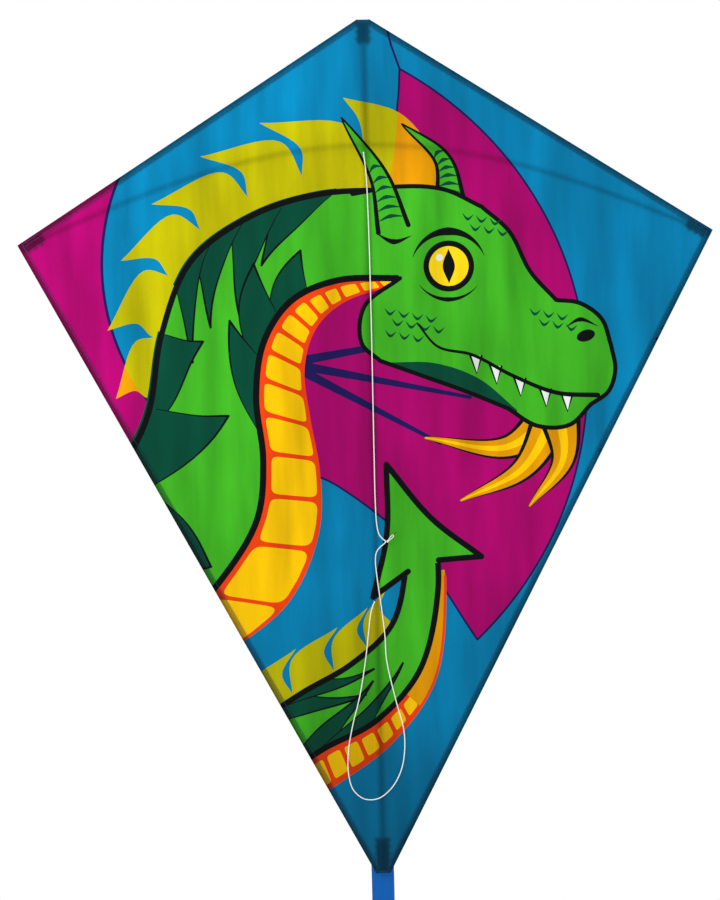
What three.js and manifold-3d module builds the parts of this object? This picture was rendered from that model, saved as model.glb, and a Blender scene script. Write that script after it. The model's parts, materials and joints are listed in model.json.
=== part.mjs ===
// A 30 inch diamond kite with a printed sail: one spine rod, one bowed cross spar, a two-point bridle and a
// ribbon tail. Millimetres, +Z towards the nose, printed side facing -Y. The origin is the middle of the flat
// pad behind the fitting where the rods cross. Left is -X, as seen by someone facing the printed side.
import * as THREE from "three";
import { mergeVertices } from "three/addons/utils/BufferGeometryUtils.js";
import Module from "manifold-3d";

const wasm = await Module();
wasm.setup();

// Sail outline
const halfSpan = 381;
const noseZ = 136;
const tipZ = -101;
const footZ = -803;
const noseHalfWidth = 6.5;
const footHalfWidth = 7.5;
const hemWidth = 6.5;
const clothThickness = 0.6;
const gap = 0.3;

// Depths, from the pad's face at Y = 0 towards the printed side
const sparY = -4.4;
const spineY = -8.6;
const sailBackY = -12.4;
const sailFrontY = sailBackY - clothThickness;

// Rods and caps
const spineRadius = 2;
const sparRadius = 1.5;
const capWall = 1.0;
const capLength = 12;
const capEnd = 2;
const sparEndX = 370;
const sparDrop = 104;
const sparQuarterWave = 378;
const spineTopZ = 128;
const spineFootZ = -794;

// The sail's wings bow back at these two lines, level with the spar
const flexX = 70;
const flexGap = 1.3;

// Bridle
const lineRadius = 0.6;
const bridleHoleX = -3;
const bridleHoleRadius = 1.5;
const upperHoleZ = -8;
const lowerHoleZ = -501;

// Tail
const ribbonHalfWidth = 12.5;
const tabTopZ = -794;
const tabFootZ = -806;
const ribbonTopZ = -807.5;
const ribbonFootZ = -860;
const rollRadius = 16;

const colours = {
  sail: new THREE.MeshStandardMaterial({ color: 0x0b78b4, roughness: 0.75, metalness: 0 }),
  hem: new THREE.MeshStandardMaterial({ color: 0x075a8c, roughness: 0.8, metalness: 0 }),
  pocket: new THREE.MeshStandardMaterial({ color: 0x0a4468, roughness: 0.85, metalness: 0 }),
  rod: new THREE.MeshStandardMaterial({ color: 0x2a2c30, roughness: 0.35, metalness: 0 }),
  cap: new THREE.MeshStandardMaterial({ color: 0x111214, roughness: 0.7, metalness: 0 }),
  fitting: new THREE.MeshStandardMaterial({ color: 0x16181b, roughness: 0.5, metalness: 0 }),
  line: new THREE.MeshStandardMaterial({ color: 0xf1f0ea, roughness: 0.8, metalness: 0 }),
  ring: new THREE.MeshStandardMaterial({ color: 0x9a4a35, roughness: 0.35, metalness: 1 }),
  ribbon: new THREE.MeshStandardMaterial({ color: 0x0a66bd, roughness: 0.6, metalness: 0 }),
  band: new THREE.MeshStandardMaterial({ color: 0xb9a27c, roughness: 0.7, metalness: 0 }),
};

const kite = new THREE.Group();
kite.name = "diamond_kite";

function add(name, geometry, material) {
  const mesh = new THREE.Mesh(geometry, material.clone());
  mesh.name = name;
  kite.add(mesh);
  return mesh;
}

// Joining and cutting

function toSolid(geometry) {
  const bare = new THREE.BufferGeometry();
  bare.setAttribute("position", geometry.getAttribute("position"));
  if (geometry.index) bare.setIndex(geometry.index);
  const merged = mergeVertices(bare, 1e-4);
  return new wasm.Manifold(
    new wasm.Mesh({
      numProp: 3,
      vertProperties: merged.attributes.position.array,
      triVerts: new Uint32Array(merged.index.array),
    }),
  );
}

function toGeometry(solid) {
  const mesh = solid.getMesh();
  const geometry = new THREE.BufferGeometry();
  geometry.setAttribute("position", new THREE.BufferAttribute(mesh.vertProperties, 3));
  geometry.setIndex(new THREE.BufferAttribute(mesh.triVerts, 1));
  return geometry;
}

// Basic shapes

// A flat plate from an outline of [x, z] points, between two depths.
function plate(outline, frontY, backY) {
  const shape = new THREE.Shape(outline.map(([x, z]) => new THREE.Vector2(x, z)));
  const geometry = new THREE.ExtrudeGeometry(shape, { depth: backY - frontY, bevelEnabled: false });
  return geometry.rotateX(Math.PI / 2).translate(0, backY, 0);
}

function box(low, high) {
  const size = high.map((value, axis) => value - low[axis]);
  const middle = high.map((value, axis) => (value + low[axis]) / 2);
  return new THREE.BoxGeometry(...size).translate(...middle);
}

function uprightCylinder(radius, lowZ, highZ, y, sides = 20) {
  const geometry = new THREE.CylinderGeometry(radius, radius, highZ - lowZ, sides);
  return geometry.rotateX(Math.PI / 2).translate(0, y, (lowZ + highZ) / 2);
}

function crossCylinder(radius, halfLength, y, z, sides = 20) {
  const geometry = new THREE.CylinderGeometry(radius, radius, 2 * halfLength, sides);
  return geometry.rotateZ(Math.PI / 2).translate(0, y, z);
}

// A round rod or cord along a curve, closed at both ends.
function along(curve, radius, sides, steps) {
  const section = new THREE.Shape();
  for (let i = 0; i < sides; i++) {
    const angle = (2 * Math.PI * i) / sides;
    const place = [radius * Math.cos(angle), radius * Math.sin(angle)];
    if (i === 0) section.moveTo(...place);
    else section.lineTo(...place);
  }
  section.closePath();
  return new THREE.ExtrudeGeometry(section, { steps, extrudePath: curve, bevelEnabled: false });
}

// Sail outline as two straight edges a side. The hems lie along them, and the cloth lies inside the hems.

const leadingSlope = (noseZ - tipZ) / (halfSpan - noseHalfWidth);
const trailingSlope = (tipZ - footZ) / (halfSpan - footHalfWidth);
const leadingZ = (x, inset) => tipZ + leadingSlope * (halfSpan - x) - inset * Math.hypot(1, leadingSlope);
const trailingZ = (x, inset) => tipZ - trailingSlope * (halfSpan - x) + inset * Math.hypot(1, trailingSlope);

// The corner near the wing tip where the two edges meet once each is moved into the sail by its inset.
function tipCorner(leadingInset, trailingInset) {
  const upright =
    leadingInset * Math.hypot(1, leadingSlope) + trailingInset * Math.hypot(1, trailingSlope);
  const x = halfSpan - upright / (leadingSlope + trailingSlope);
  return [x, leadingZ(x, leadingInset)];
}

const mirrored = (outline, side) => outline.map(([x, z]) => [side * x, z]);
const innerFlexX = flexX - gap / 2;
const outerFlexX = flexX + gap / 2;
const panelInset = hemWidth + gap;

// Centre of the sail, with the two holes that the bridle passes through.
function centrePanel() {
  const half = [
    [0, trailingZ(0, panelInset)],
    [innerFlexX, trailingZ(innerFlexX, panelInset)],
    [innerFlexX, leadingZ(innerFlexX, panelInset)],
    [0, leadingZ(0, panelInset)],
  ];
  const outline = [...half, ...mirrored(half.slice(1, 3).reverse(), -1)];
  let panel = toSolid(plate(outline, sailFrontY, sailBackY));
  for (const z of [upperHoleZ, lowerHoleZ]) {
    const drill = new THREE.CylinderGeometry(bridleHoleRadius, bridleHoleRadius, 4, 16);
    drill.translate(bridleHoleX, (sailFrontY + sailBackY) / 2, z);
    panel = panel.subtract(toSolid(drill));
  }
  return toGeometry(panel);
}
add("sail_centre", centrePanel(), colours.sail);

const wings = [
  { name: "left", side: -1 },
  { name: "right", side: 1 },
];

for (const { name, side } of wings) {
  const sailCloth = (outline) => plate(mirrored(outline, side), sailFrontY, sailBackY);

  const wingPanel = [
    [outerFlexX, trailingZ(outerFlexX, panelInset)],
    tipCorner(panelInset, panelInset),
    [outerFlexX, leadingZ(outerFlexX, panelInset)],
  ];
  add("sail_" + name, sailCloth(wingPanel), colours.sail);

  const wingLeadingHem = [
    [outerFlexX, leadingZ(outerFlexX, hemWidth)],
    tipCorner(hemWidth, 0),
    [halfSpan, tipZ],
    [outerFlexX, leadingZ(outerFlexX, 0)],
  ];
  add(name + "_leading_hem", sailCloth(wingLeadingHem), colours.hem);

  const wingTrailingHem = [
    [outerFlexX, trailingZ(outerFlexX, 0)],
    tipCorner(panelInset, 0),
    tipCorner(panelInset, hemWidth),
    [outerFlexX, trailingZ(outerFlexX, hemWidth)],
  ];
  add(name + "_trailing_hem", sailCloth(wingTrailingHem), colours.hem);

  const noseHem = [
    [gap / 2, leadingZ(gap / 2, hemWidth)],
    [innerFlexX, leadingZ(innerFlexX, hemWidth)],
    [innerFlexX, leadingZ(innerFlexX, 0)],
    [noseHalfWidth, noseZ],
    [gap / 2, noseZ],
  ];
  add("nose_" + name + "_hem", sailCloth(noseHem), colours.hem);

  const footHem = [
    [gap / 2, footZ],
    [footHalfWidth, footZ],
    [innerFlexX, trailingZ(innerFlexX, 0)],
    [innerFlexX, trailingZ(innerFlexX, hemWidth)],
    [gap / 2, trailingZ(gap / 2, hemWidth)],
  ];
  add("foot_" + name + "_hem", sailCloth(footHem), colours.hem);
}

// Spine rod and its end caps

function cap(rodRadius) {
  const outer = rodRadius + capWall + gap;
  const bore = rodRadius + gap;
  const depth = capLength - capEnd;
  const profile = [
    [0, depth],
    [0, capLength - 0.5],
    [outer - 1, capLength],
    [outer, capLength - 1],
    [outer, 0],
    [bore, 0],
    [bore, depth],
  ];
  const points = profile.map(([r, h]) => new THREE.Vector2(r, h)).reverse();
  // Turned so that the closed end points towards +Z and the bore opens at the origin.
  return new THREE.LatheGeometry([...points, points[0]], 16).rotateX(Math.PI / 2);
}

const capReach = capLength - capEnd - gap;
add("spine_rod", uprightCylinder(spineRadius, spineFootZ, spineTopZ, spineY, 16), colours.rod);
const topCap = add("spine_top_cap", cap(spineRadius), colours.cap);
topCap.position.set(0, spineY, spineTopZ - capReach);
const footCap = add("spine_foot_cap", cap(spineRadius), colours.cap);
footCap.rotation.x = Math.PI;
footCap.position.set(0, spineY, spineFootZ + capReach);

// Cross spar: one springy rod, bowed by the sail so that it drops from the crossing to the wing tips, and
// running from behind the spine to just behind the cloth.

const capOuterRadius = sparRadius + capWall + gap;
const sparTipY = sailBackY + gap + capOuterRadius;

class SparCurve extends THREE.Curve {
  constructor(fromX, toX) {
    super();
    this.fromX = fromX;
    this.toX = toX;
  }
  getPoint(t, target = new THREE.Vector3()) {
    const x = this.fromX + (this.toX - this.fromX) * t;
    const z = -sparDrop * (1 - Math.cos((Math.PI * x) / (2 * sparQuarterWave)));
    const y = sparY + ((sparTipY - sparY) * (1 - Math.cos((Math.PI * x) / sparQuarterWave))) / 2;
    return target.set(x, y, z);
  }
}

const innerSparX = flexX - flexGap;
const outerSparX = flexX + flexGap;
add("spar_centre", along(new SparCurve(-innerSparX, innerSparX), sparRadius, 12, 12), colours.rod);

for (const { name, side } of wings) {
  const half = new SparCurve(side * outerSparX, side * sparEndX);
  add("spar_" + name, along(half, sparRadius, 12, 26), colours.rod);

  const end = half.getPoint(1);
  const outward = half.getTangent(1);
  const sparCap = add("spar_" + name + "_cap", cap(sparRadius), colours.cap);
  sparCap.quaternion.setFromUnitVectors(new THREE.Vector3(0, 0, 1), outward);
  sparCap.position.copy(end).addScaledVector(outward, -capReach);
}

// Cloth pockets that hold the rod ends. Each is a tray sewn to the back of the sail, open at its mouth.

// lengths run from the closed end at 0 to the mouth, widths across, in the pocket's own frame.
function pocket(outerWidths, innerWidths, length, closedEnd, backY) {
  const wall = 0.8;
  const outer = box([outerWidths[0], sailBackY + gap, 0], [outerWidths[1], backY + wall, length]);
  const inner = box([innerWidths[0], sailBackY, closedEnd], [innerWidths[1], backY, length + 1]);
  return toGeometry(toSolid(outer).subtract(toSolid(inner)));
}

const spinePocketBackY = spineY + spineRadius + capWall + 2 * gap;
const nosePocket = add("nose_pocket", pocket([-7, 7], [-4.5, 4.5], 23, 3, spinePocketBackY), colours.pocket);
nosePocket.position.z = noseZ - 2;
nosePocket.geometry.rotateY(Math.PI);
add("tail_pocket", pocket([-8.2, 8.2], [-4.5, 4.5], 37, 3.5, spinePocketBackY), colours.pocket).position.z =
  footZ + 1.5;

const leadingAngle = Math.atan(leadingSlope);
const tipPocketBackY = sparTipY + capOuterRadius + 2 * gap;
for (const { name, side } of wings) {
  // The pocket lies along the leading edge, with its closed end at the wing tip.
  const widths = [
    [0.6, 12.4],
    [1.4, 11.4],
  ].map((pair) => (side < 0 ? pair : pair.map((w) => -w).reverse()));
  const tipPocket = add(
    name + "_tip_pocket",
    pocket(widths[0], widths[1], 26, 3, tipPocketBackY),
    colours.pocket,
  );
  tipPocket.rotation.y = -side * (Math.PI / 2 - leadingAngle);
  tipPocket.position.set(side * (halfSpan - 1), 0, tipZ);
}

// Moulded fitting that holds the rods where they cross: an upright barrel for the spine, a level barrel for the
// spar, and a flat pad behind.

function crossFitting() {
  const spineBarrel = uprightCylinder(3.4, -6, 6, spineY, 24);
  const sparBarrel = crossCylinder(2.9, 8, sparY, 0, 24);
  const pad = plate(roundedRectangle(6, 6, 1.5), sparY, 0);
  const web = box([-2.4, spineY, -5], [2.4, sparY, 5]);
  const spineBore = uprightCylinder(spineRadius + 0.15, -7, 7, spineY, 16);
  const sparBore = crossCylinder(sparRadius + 0.2, 9, sparY, -0.05, 12);
  return toGeometry(
    toSolid(spineBarrel)
      .add(toSolid(sparBarrel))
      .add(toSolid(pad))
      .add(toSolid(web))
      .subtract(toSolid(spineBore))
      .subtract(toSolid(sparBore)),
  );
}

function roundedRectangle(halfWidth, halfHeight, radius) {
  const outline = [];
  const cornerSteps = 4;
  for (let corner = 0; corner < 4; corner++) {
    const middleX = (corner === 0 || corner === 3 ? 1 : -1) * (halfWidth - radius);
    const middleZ = (corner < 2 ? 1 : -1) * (halfHeight - radius);
    for (let i = 0; i <= cornerSteps; i++) {
      const angle = (Math.PI / 2) * (corner + i / cornerSteps);
      outline.push([middleX + radius * Math.cos(angle), middleZ + radius * Math.sin(angle)]);
    }
  }
  return outline;
}
add("cross_fitting", crossFitting(), colours.fitting);

// Bridle: one limp line from the upper hole to the lower one, hanging slack in front of the sail. Each end is
// knotted round the spine, and the tow point is a small loop with a ring.

for (const [name, z] of [
  ["upper_bridle_knot", upperHoleZ],
  ["lower_bridle_knot", lowerHoleZ],
]) {
  const turn = new THREE.TorusGeometry(spineRadius + gap + lineRadius, lineRadius, 8, 20);
  add(name, turn, colours.line).position.set(0, spineY, z);
}

const bridleRoute = [
  [-3, -11.9, -8],
  [-3, -14.2, -8],
  [-2.9, -16, -9.6],
  [-2.6, -16.8, -14],
  [-1, -16.4, -30],
  [0.6, -15.4, -95],
  [1, -15, -210],
  [0.6, -15, -330],
  [0.7, -15.1, -395],
  [1.8, -15.5, -417],
  [4.2, -16.2, -427],
  [8.4, -17, -432],
  [10.9, -17.3, -434.6],
  [8.6, -17, -437.2],
  [4.6, -16.4, -440.5],
  [0.6, -15.8, -446],
  [-0.8, -15.4, -455],
  [0.4, -15, -472],
  [4, -14.8, -502],
  [7.7, -14.8, -538],
  [9, -14.9, -566],
  [18.5, -15, -612],
  [26, -15, -643],
  [26.4, -15.2, -668],
  [21.6, -15.4, -690],
  [11, -15.6, -708],
  [-4, -15.7, -719],
  [-19, -15.6, -719],
  [-31, -15.4, -709],
  [-36, -15.2, -692],
  [-36, -15, -668],
  [-31, -15, -640],
  [-21.5, -15, -604],
  [-14.5, -15.2, -566],
  [-10.4, -15.8, -535],
  [-7.6, -16.6, -514],
  [-4.6, -16.9, -504],
  [-3, -15.6, -501.2],
  [-3, -13.8, -501],
  [-3, -11.9, -501],
].map((place) => new THREE.Vector3(...place));

// The same number of steps between every two points of the route, so that the short bends stay round.
class LineCurve extends THREE.CatmullRomCurve3 {
  getPointAt(u, target) {
    return this.getPoint(u, target);
  }
  getTangentAt(u, target) {
    return this.getTangent(u, target);
  }
}
const bridleCurve = new LineCurve(bridleRoute, false, "centripetal");
add("bridle_line", along(bridleCurve, lineRadius, 8, 2 * (bridleRoute.length - 1)), colours.line);

const towKnotPlace = new THREE.Vector3(12.9, -17.6, -434.3);
const towKnotRadius = 1.3;
const towKnot = add("tow_knot", new THREE.SphereGeometry(towKnotRadius, 12, 8), colours.line);
towKnot.position.copy(towKnotPlace);

const loopLength = 9;
const loopHalfWidth = 1.7;
const loopAngle = Math.PI / 4;
const towLoop = add(
  "tow_loop",
  new THREE.TorusGeometry(loopLength / 2, 0.5, 8, 24).scale(1, loopHalfWidth / (loopLength / 2), 1),
  colours.line,
);
const loopDirection = new THREE.Vector3(Math.cos(loopAngle), 0, Math.sin(loopAngle));
towLoop.quaternion.setFromRotationMatrix(
  new THREE.Matrix4().makeBasis(
    loopDirection,
    new THREE.Vector3(-Math.sin(loopAngle), 0, Math.cos(loopAngle)),
    new THREE.Vector3(0, -1, 0),
  ),
);
const loopReach = towKnotRadius + gap + loopLength / 2 + 0.5;
towLoop.position.copy(towKnotPlace).addScaledVector(loopDirection, loopReach);

const ringRadius = 1.7;
const towRing = add("tow_ring", new THREE.TorusGeometry(ringRadius, 0.45, 8, 20), colours.ring);
towRing.quaternion.setFromRotationMatrix(
  new THREE.Matrix4().makeBasis(
    loopDirection,
    new THREE.Vector3(0, 1, 0),
    new THREE.Vector3(-Math.sin(loopAngle), 0, Math.cos(loopAngle)),
  ),
);
towRing.position.copy(towKnotPlace).addScaledVector(loopDirection, loopReach + loopLength / 2 + ringRadius - 1);

// Tail: a ribbon hanging from the tail pocket. Its far end is rolled up and held by a springy band.

const tailY = spinePocketBackY + 0.8 + gap + clothThickness / 2;
const ribbonCloth = (lowZ, highZ) =>
  box(
    [-ribbonHalfWidth, tailY - clothThickness / 2, lowZ],
    [ribbonHalfWidth, tailY + clothThickness / 2, highZ],
  );
add("tail_tab", ribbonCloth(tabFootZ, tabTopZ), colours.ribbon);
add("tail_ribbon", ribbonCloth(ribbonFootZ, ribbonTopZ), colours.ribbon);
const bandThickness = 1;
const bandHalfWidth = 1.5;
const rollZ = ribbonFootZ - 2 * gap - bandThickness - rollRadius;
add("tail_roll", crossCylinder(rollRadius, ribbonHalfWidth, tailY, rollZ, 32), colours.ribbon);

// The band is open where the ribbon leaves the roll. Angles run from +Y towards +Z.
const bandStart = THREE.MathUtils.degToRad(42);
const bandEnd = THREE.MathUtils.degToRad(354);
const bandInner = rollRadius + gap;
const bandShape = new THREE.Shape()
  .absarc(0, 0, bandInner + bandThickness, bandStart, bandEnd, false)
  .absarc(0, 0, bandInner, bandEnd, bandStart, true);
const bandDepth = 2 * bandHalfWidth;
const band = new THREE.ExtrudeGeometry(bandShape, { depth: bandDepth, curveSegments: 28, bevelEnabled: false })
  .translate(0, 0, -bandHalfWidth)
  .rotateX(Math.PI / 2)
  .rotateZ(Math.PI / 2)
  .translate(0, tailY, rollZ);
add("tail_band", band, colours.band);

export default kite;
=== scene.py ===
# The looks of a 30 inch diamond kite with a printed sail.
# Metres, +Z towards the nose, printed side facing -Y.
# The print is drawn in millimetres on the flat sail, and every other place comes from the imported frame.
import json
import math
import random
from itertools import accumulate

import bmesh
import bpy
import numpy as np
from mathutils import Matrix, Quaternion, Vector, kdtree
from mathutils.geometry import delaunay_2d_cdt


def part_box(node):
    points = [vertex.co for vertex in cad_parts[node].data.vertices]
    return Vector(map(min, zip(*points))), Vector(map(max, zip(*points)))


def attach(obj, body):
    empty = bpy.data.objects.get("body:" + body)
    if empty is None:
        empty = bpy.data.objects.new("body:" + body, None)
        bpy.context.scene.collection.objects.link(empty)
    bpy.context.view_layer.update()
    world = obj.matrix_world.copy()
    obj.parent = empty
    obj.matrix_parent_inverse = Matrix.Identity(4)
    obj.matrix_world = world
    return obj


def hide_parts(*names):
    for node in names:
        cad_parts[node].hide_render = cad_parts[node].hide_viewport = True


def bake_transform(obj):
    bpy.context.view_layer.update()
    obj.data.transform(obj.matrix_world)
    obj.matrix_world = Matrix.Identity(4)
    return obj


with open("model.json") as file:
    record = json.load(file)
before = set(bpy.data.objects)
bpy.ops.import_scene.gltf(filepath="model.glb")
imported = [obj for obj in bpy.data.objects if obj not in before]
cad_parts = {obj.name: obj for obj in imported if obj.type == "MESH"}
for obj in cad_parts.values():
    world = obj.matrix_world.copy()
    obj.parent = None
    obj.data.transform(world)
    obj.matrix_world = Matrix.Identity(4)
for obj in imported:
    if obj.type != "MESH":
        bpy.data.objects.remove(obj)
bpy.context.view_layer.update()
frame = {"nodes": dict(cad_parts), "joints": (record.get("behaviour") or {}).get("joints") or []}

MM = 0.001
WINGS = {"left": -1, "right": 1}


def low(node):
    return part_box(node)[0]


def high(node):
    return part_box(node)[1]


def middle(node):
    return (low(node) + high(node)) / 2


def corner(node, score):
    """The corner of a CAD node that scores highest."""
    return max((v.co.copy() for v in frame["nodes"][node].data.vertices), key=score)


# Sail outline, from the hems' corners
TIP = corner("right_leading_hem", lambda p: p.x)
NOSE = corner("nose_right_hem", lambda p: 1e3 * round(p.z, 5) + p.x)
FOOT = corner("foot_right_hem", lambda p: -1e3 * round(p.z, 5) + p.x)
HEM_WIDTH = 6.5 * MM
CLOTH_Y = (low("sail_centre").y + high("sail_centre").y) / 2
HINGES = {j["child"]: Vector(j["pos_m"]) for j in frame["joints"]}

# Rods
SPINE_Y = middle("spine_rod").y
SPINE_RADIUS = (high("spine_rod").x - low("spine_rod").x) / 2
SPAR_RADIUS = 1.5 * MM
SPAR_Y = high("spar_centre").y - SPAR_RADIUS
SPAR_TIP_Y = -9.3 * MM
SPAR_DROP = 104 * MM
SPAR_QUARTER_WAVE = 378 * MM
SPAR_END_X = 370 * MM


# ---------------------------------------------------------------- camera

VIEW_AZIMUTH = math.radians(4.0)
VIEW_ELEVATION = math.radians(3.1)
VIEW_ROLL = math.radians(1.4)
VIEW_DISTANCE = 3.0
VIEW_TARGET = Vector((-0.0146, CLOTH_Y, -0.3332))
LENS = 109.3


def make_camera():
    forward = Vector(
        (
            math.sin(VIEW_AZIMUTH) * math.cos(VIEW_ELEVATION),
            math.cos(VIEW_AZIMUTH) * math.cos(VIEW_ELEVATION),
            -math.sin(VIEW_ELEVATION),
        )
    )
    data = bpy.data.cameras.new("camera")
    data.lens = LENS
    data.sensor_width = 36
    camera = bpy.data.objects.new("camera", data)
    bpy.context.scene.collection.objects.link(camera)
    camera.location = VIEW_TARGET - forward * VIEW_DISTANCE
    camera.rotation_mode = "QUATERNION"
    camera.rotation_quaternion = Quaternion(forward, VIEW_ROLL) @ forward.to_track_quat("-Z", "Y")
    bpy.context.scene.camera = camera


# ---------------------------------------------------------------- curves in space and on the flat


def smooth_curve(points, steps):
    """Points along a centripetal Catmull-Rom curve through the given ones, in two or three dimensions."""
    given = [np.array(p, float) for p in points]
    given = [2 * given[0] - given[1], *given, 2 * given[-1] - given[-2]]
    made = []
    for a, b, c, d in zip(given, given[1:], given[2:], given[3:]):
        made += [span_point(a, b, c, d, i / steps) for i in range(steps)]
    return [*made, given[-2]]


def span_point(a, b, c, d, t):
    """A point between b and c, by Barry and Goldman's steps with centripetal spacing."""
    gaps = [max(np.linalg.norm(q - p), 1e-9) ** 0.5 for p, q in ((a, b), (b, c), (c, d))]
    k0, k1, k2, k3 = accumulate(gaps, initial=0.0)
    k = k1 + (k2 - k1) * t
    ab = a + (b - a) * (k - k0) / (k1 - k0)
    bc = b + (c - b) * (k - k1) / (k2 - k1)
    cd = c + (d - c) * (k - k2) / (k3 - k2)
    abc = ab + (bc - ab) * (k - k0) / (k2 - k0)
    bcd = bc + (cd - bc) * (k - k1) / (k3 - k1)
    return abc + (bcd - abc) * (k - k1) / (k2 - k1)


def curve(*points, steps=8):
    return smooth_curve(points, steps)


def joined(*stretches):
    """Stretches end to end as one outline; each starts where the last one ended."""
    outline = list(stretches[0])
    for stretch in stretches[1:]:
        outline += list(stretch)[1:]
    return outline


def round_angles(count, closed=False):
    """Angles that share out a full turn. A closed list ends with the whole turn."""
    return [2 * math.pi * i / count for i in range(count + closed)]


def squarish(value, power):
    """A sine or cosine pushed outwards, so that a circle made from them turns into a rounded square."""
    return math.copysign(abs(value) ** power, value)


# ---------------------------------------------------------------- meshes


def mesh_object(name, points, faces, uvs):
    mesh = bpy.data.meshes.new(name)
    mesh.from_pydata([tuple(p) for p in points], [], [tuple(f) for f in faces])
    layer = mesh.uv_layers.new(name="cloth")
    for loop in mesh.loops:
        layer.data[loop.index].uv = uvs[loop.vertex_index]
    mesh.polygons.foreach_set("use_smooth", [True] * len(mesh.polygons))
    mesh.update()
    made = bpy.data.objects.new(name, mesh)
    bpy.context.scene.collection.objects.link(made)
    return made


def grid_faces(rows, columns, round_columns=True, round_rows=False, start=0):
    """Quads over a grid of points listed row by row, which may close on itself either way."""
    quads = []
    for i in range(rows if round_rows else rows - 1):
        for j in range(columns if round_columns else columns - 1):
            here, above = start + i * columns, start + (i + 1) % rows * columns
            k = (j + 1) % columns
            quads.append((here + j, here + k, above + k, above + j))
    return quads


def skin_faces(rings, sides):
    """Quads over rings of points listed ring by ring, and one face over each end."""
    last = (rings - 1) * sides
    return [*grid_faces(rings, sides), tuple(reversed(range(sides))), tuple(range(last, last + sides))]


def outward_faces(made):
    work = bmesh.new()
    work.from_mesh(made.data)
    bmesh.ops.recalc_face_normals(work, faces=work.faces)
    work.to_mesh(made.data)
    work.free()


def rotated_frames(path):
    """A unit tangent and two unit normals at each point of a path, carried along it without twist."""
    path = [Vector(p) for p in path]
    frames = []
    normal = None
    for i, _ in enumerate(path):
        tangent = (path[min(i + 1, len(path) - 1)] - path[max(i - 1, 0)]).normalized()
        if normal is None:
            normal = tangent.orthogonal().normalized()
        normal = (normal - tangent * normal.dot(tangent)).normalized()
        frames.append((tangent, normal, tangent.cross(normal)))
    return frames


# The last ring of a tube's softened end: how far past the path's end, and how wide, in radii.
END_REACH = 0.35
END_SHARE = 0.75


def tube(path, radius, sides, round_ends=True):
    """Points, faces and UVs (round, along, in metres) of a round tube closed at both ends."""
    points, uvs = [], []
    rings = [(Vector(p), f, 1.0) for p, f in zip(path, rotated_frames(path))]
    if round_ends:
        ends = []
        for (place, axes, _), ahead in ((rings[0], -1), (rings[-1], 1)):
            ends.append((place + axes[0] * ahead * radius * END_REACH, axes, END_SHARE))
        rings = [ends[0], *rings, ends[1]]
    along = 0.0
    for i, (place, (_, normal, binormal), share) in enumerate(rings):
        if i:
            along += (place - rings[i - 1][0]).length
        for s, angle in enumerate(round_angles(sides)):
            points.append(place + (normal * math.cos(angle) + binormal * math.sin(angle)) * radius * share)
            uvs.append((round_uv(s, sides, radius), along))
    return points, skin_faces(len(rings), sides), uvs


def round_uv(step, steps, radius):
    """Metres round a circle, out to the far side and back, so that no seam shows."""
    return abs(step / steps * 2 - 1) * math.pi * radius


def merged(parts):
    """Several (points, faces, uvs) as one."""
    points, faces, uvs = [], [], []
    for some_points, some_faces, some_uvs in parts:
        faces += [tuple(i + len(points) for i in f) for f in some_faces]
        points += list(some_points)
        uvs += list(some_uvs)
    return points, faces, uvs


def tube_object(name, path, radius, sides):
    return mesh_object(name, *tube(path, radius, sides))


# ---------------------------------------------------------------- materials


class Nodes:
    """A material's nodes, made and joined in short calls."""

    def __init__(self, name):
        self.material = bpy.data.materials.new(name)
        self.material.use_nodes = True
        self.tree = self.material.node_tree
        self.tree.nodes.clear()

    def add(self, kind, output=None, sockets=None, **settings):
        """A new node's output. sockets holds what goes into it: a value or another node's output."""
        made = self.tree.nodes.new(kind)
        for key, value in settings.items():
            setattr(made, key, value)
        for key, value in (sockets or {}).items():
            if isinstance(value, bpy.types.NodeSocket):
                self.tree.links.new(value, made.inputs[key])
            else:
                made.inputs[key].default_value = value
        return made.outputs[output] if output else made

    def uv(self, across=1.0, along=1.0):
        """The piece's UVs in metres, stretched."""
        uv = self.add("ShaderNodeUVMap", "UV", uv_map="cloth")
        return self.add("ShaderNodeMapping", "Vector", {"Vector": uv, "Scale": (across, along, 1)})

    def noise(self, vector, scale, detail=3.0):
        return self.add("ShaderNodeTexNoise", "Fac", {"Vector": vector, "Scale": scale, "Detail": detail})

    def wave(self, vector, pitch, direction="X"):
        """Bands with that spacing in metres."""
        into = {"Vector": vector, "Scale": 1 / pitch / 10}
        return self.add("ShaderNodeTexWave", "Fac", into, wave_type="BANDS", bands_direction=direction)

    def span(self, value, low_end, high_end, from_low=0.0, from_high=1.0):
        """A value from one range, stretched over another."""
        into = {"From Min": from_low, "From Max": from_high, "To Min": low_end, "To Max": high_end}
        return self.add("ShaderNodeMapRange", "Result", {"Value": value, **into})

    def math(self, operation, a, b=0):
        return self.add("ShaderNodeMath", "Value", {0: a, 1: b}, operation=operation)

    def tinted(self, colour, amount):
        """A colour made lighter and darker by a value round 1."""
        return self.add("ShaderNodeVectorMath", "Vector", {0: colour, "Scale": amount}, operation="SCALE")

    def bump(self, height, distance, strength=1.0, **after):
        """A normal. after may hold Normal, another bump that this one adds to."""
        into = {"Height": height, "Distance": distance, "Strength": strength}
        return self.add("ShaderNodeBump", "Normal", {**into, **after})

    def principled(self, colour, roughness, normal, **fixed):
        into = {"Base Color": colour, "Roughness": roughness, "Normal": normal}
        into.update((key.replace("_", " "), value) for key, value in fixed.items())
        return self.add("ShaderNodeBsdfPrincipled", "BSDF", into)

    def see_through(self, front, share, colour, **normal):
        """A front that lets a share of the light through from behind, in a colour."""
        behind = self.add("ShaderNodeBsdfTranslucent", "BSDF", {"Color": colour, **normal})
        return self.add("ShaderNodeMixShader", "Shader", {"Fac": share, 1: front, 2: behind})

    def finish(self, shader):
        self.add("ShaderNodeOutputMaterial", sockets={"Surface": shader})
        return self.material


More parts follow.
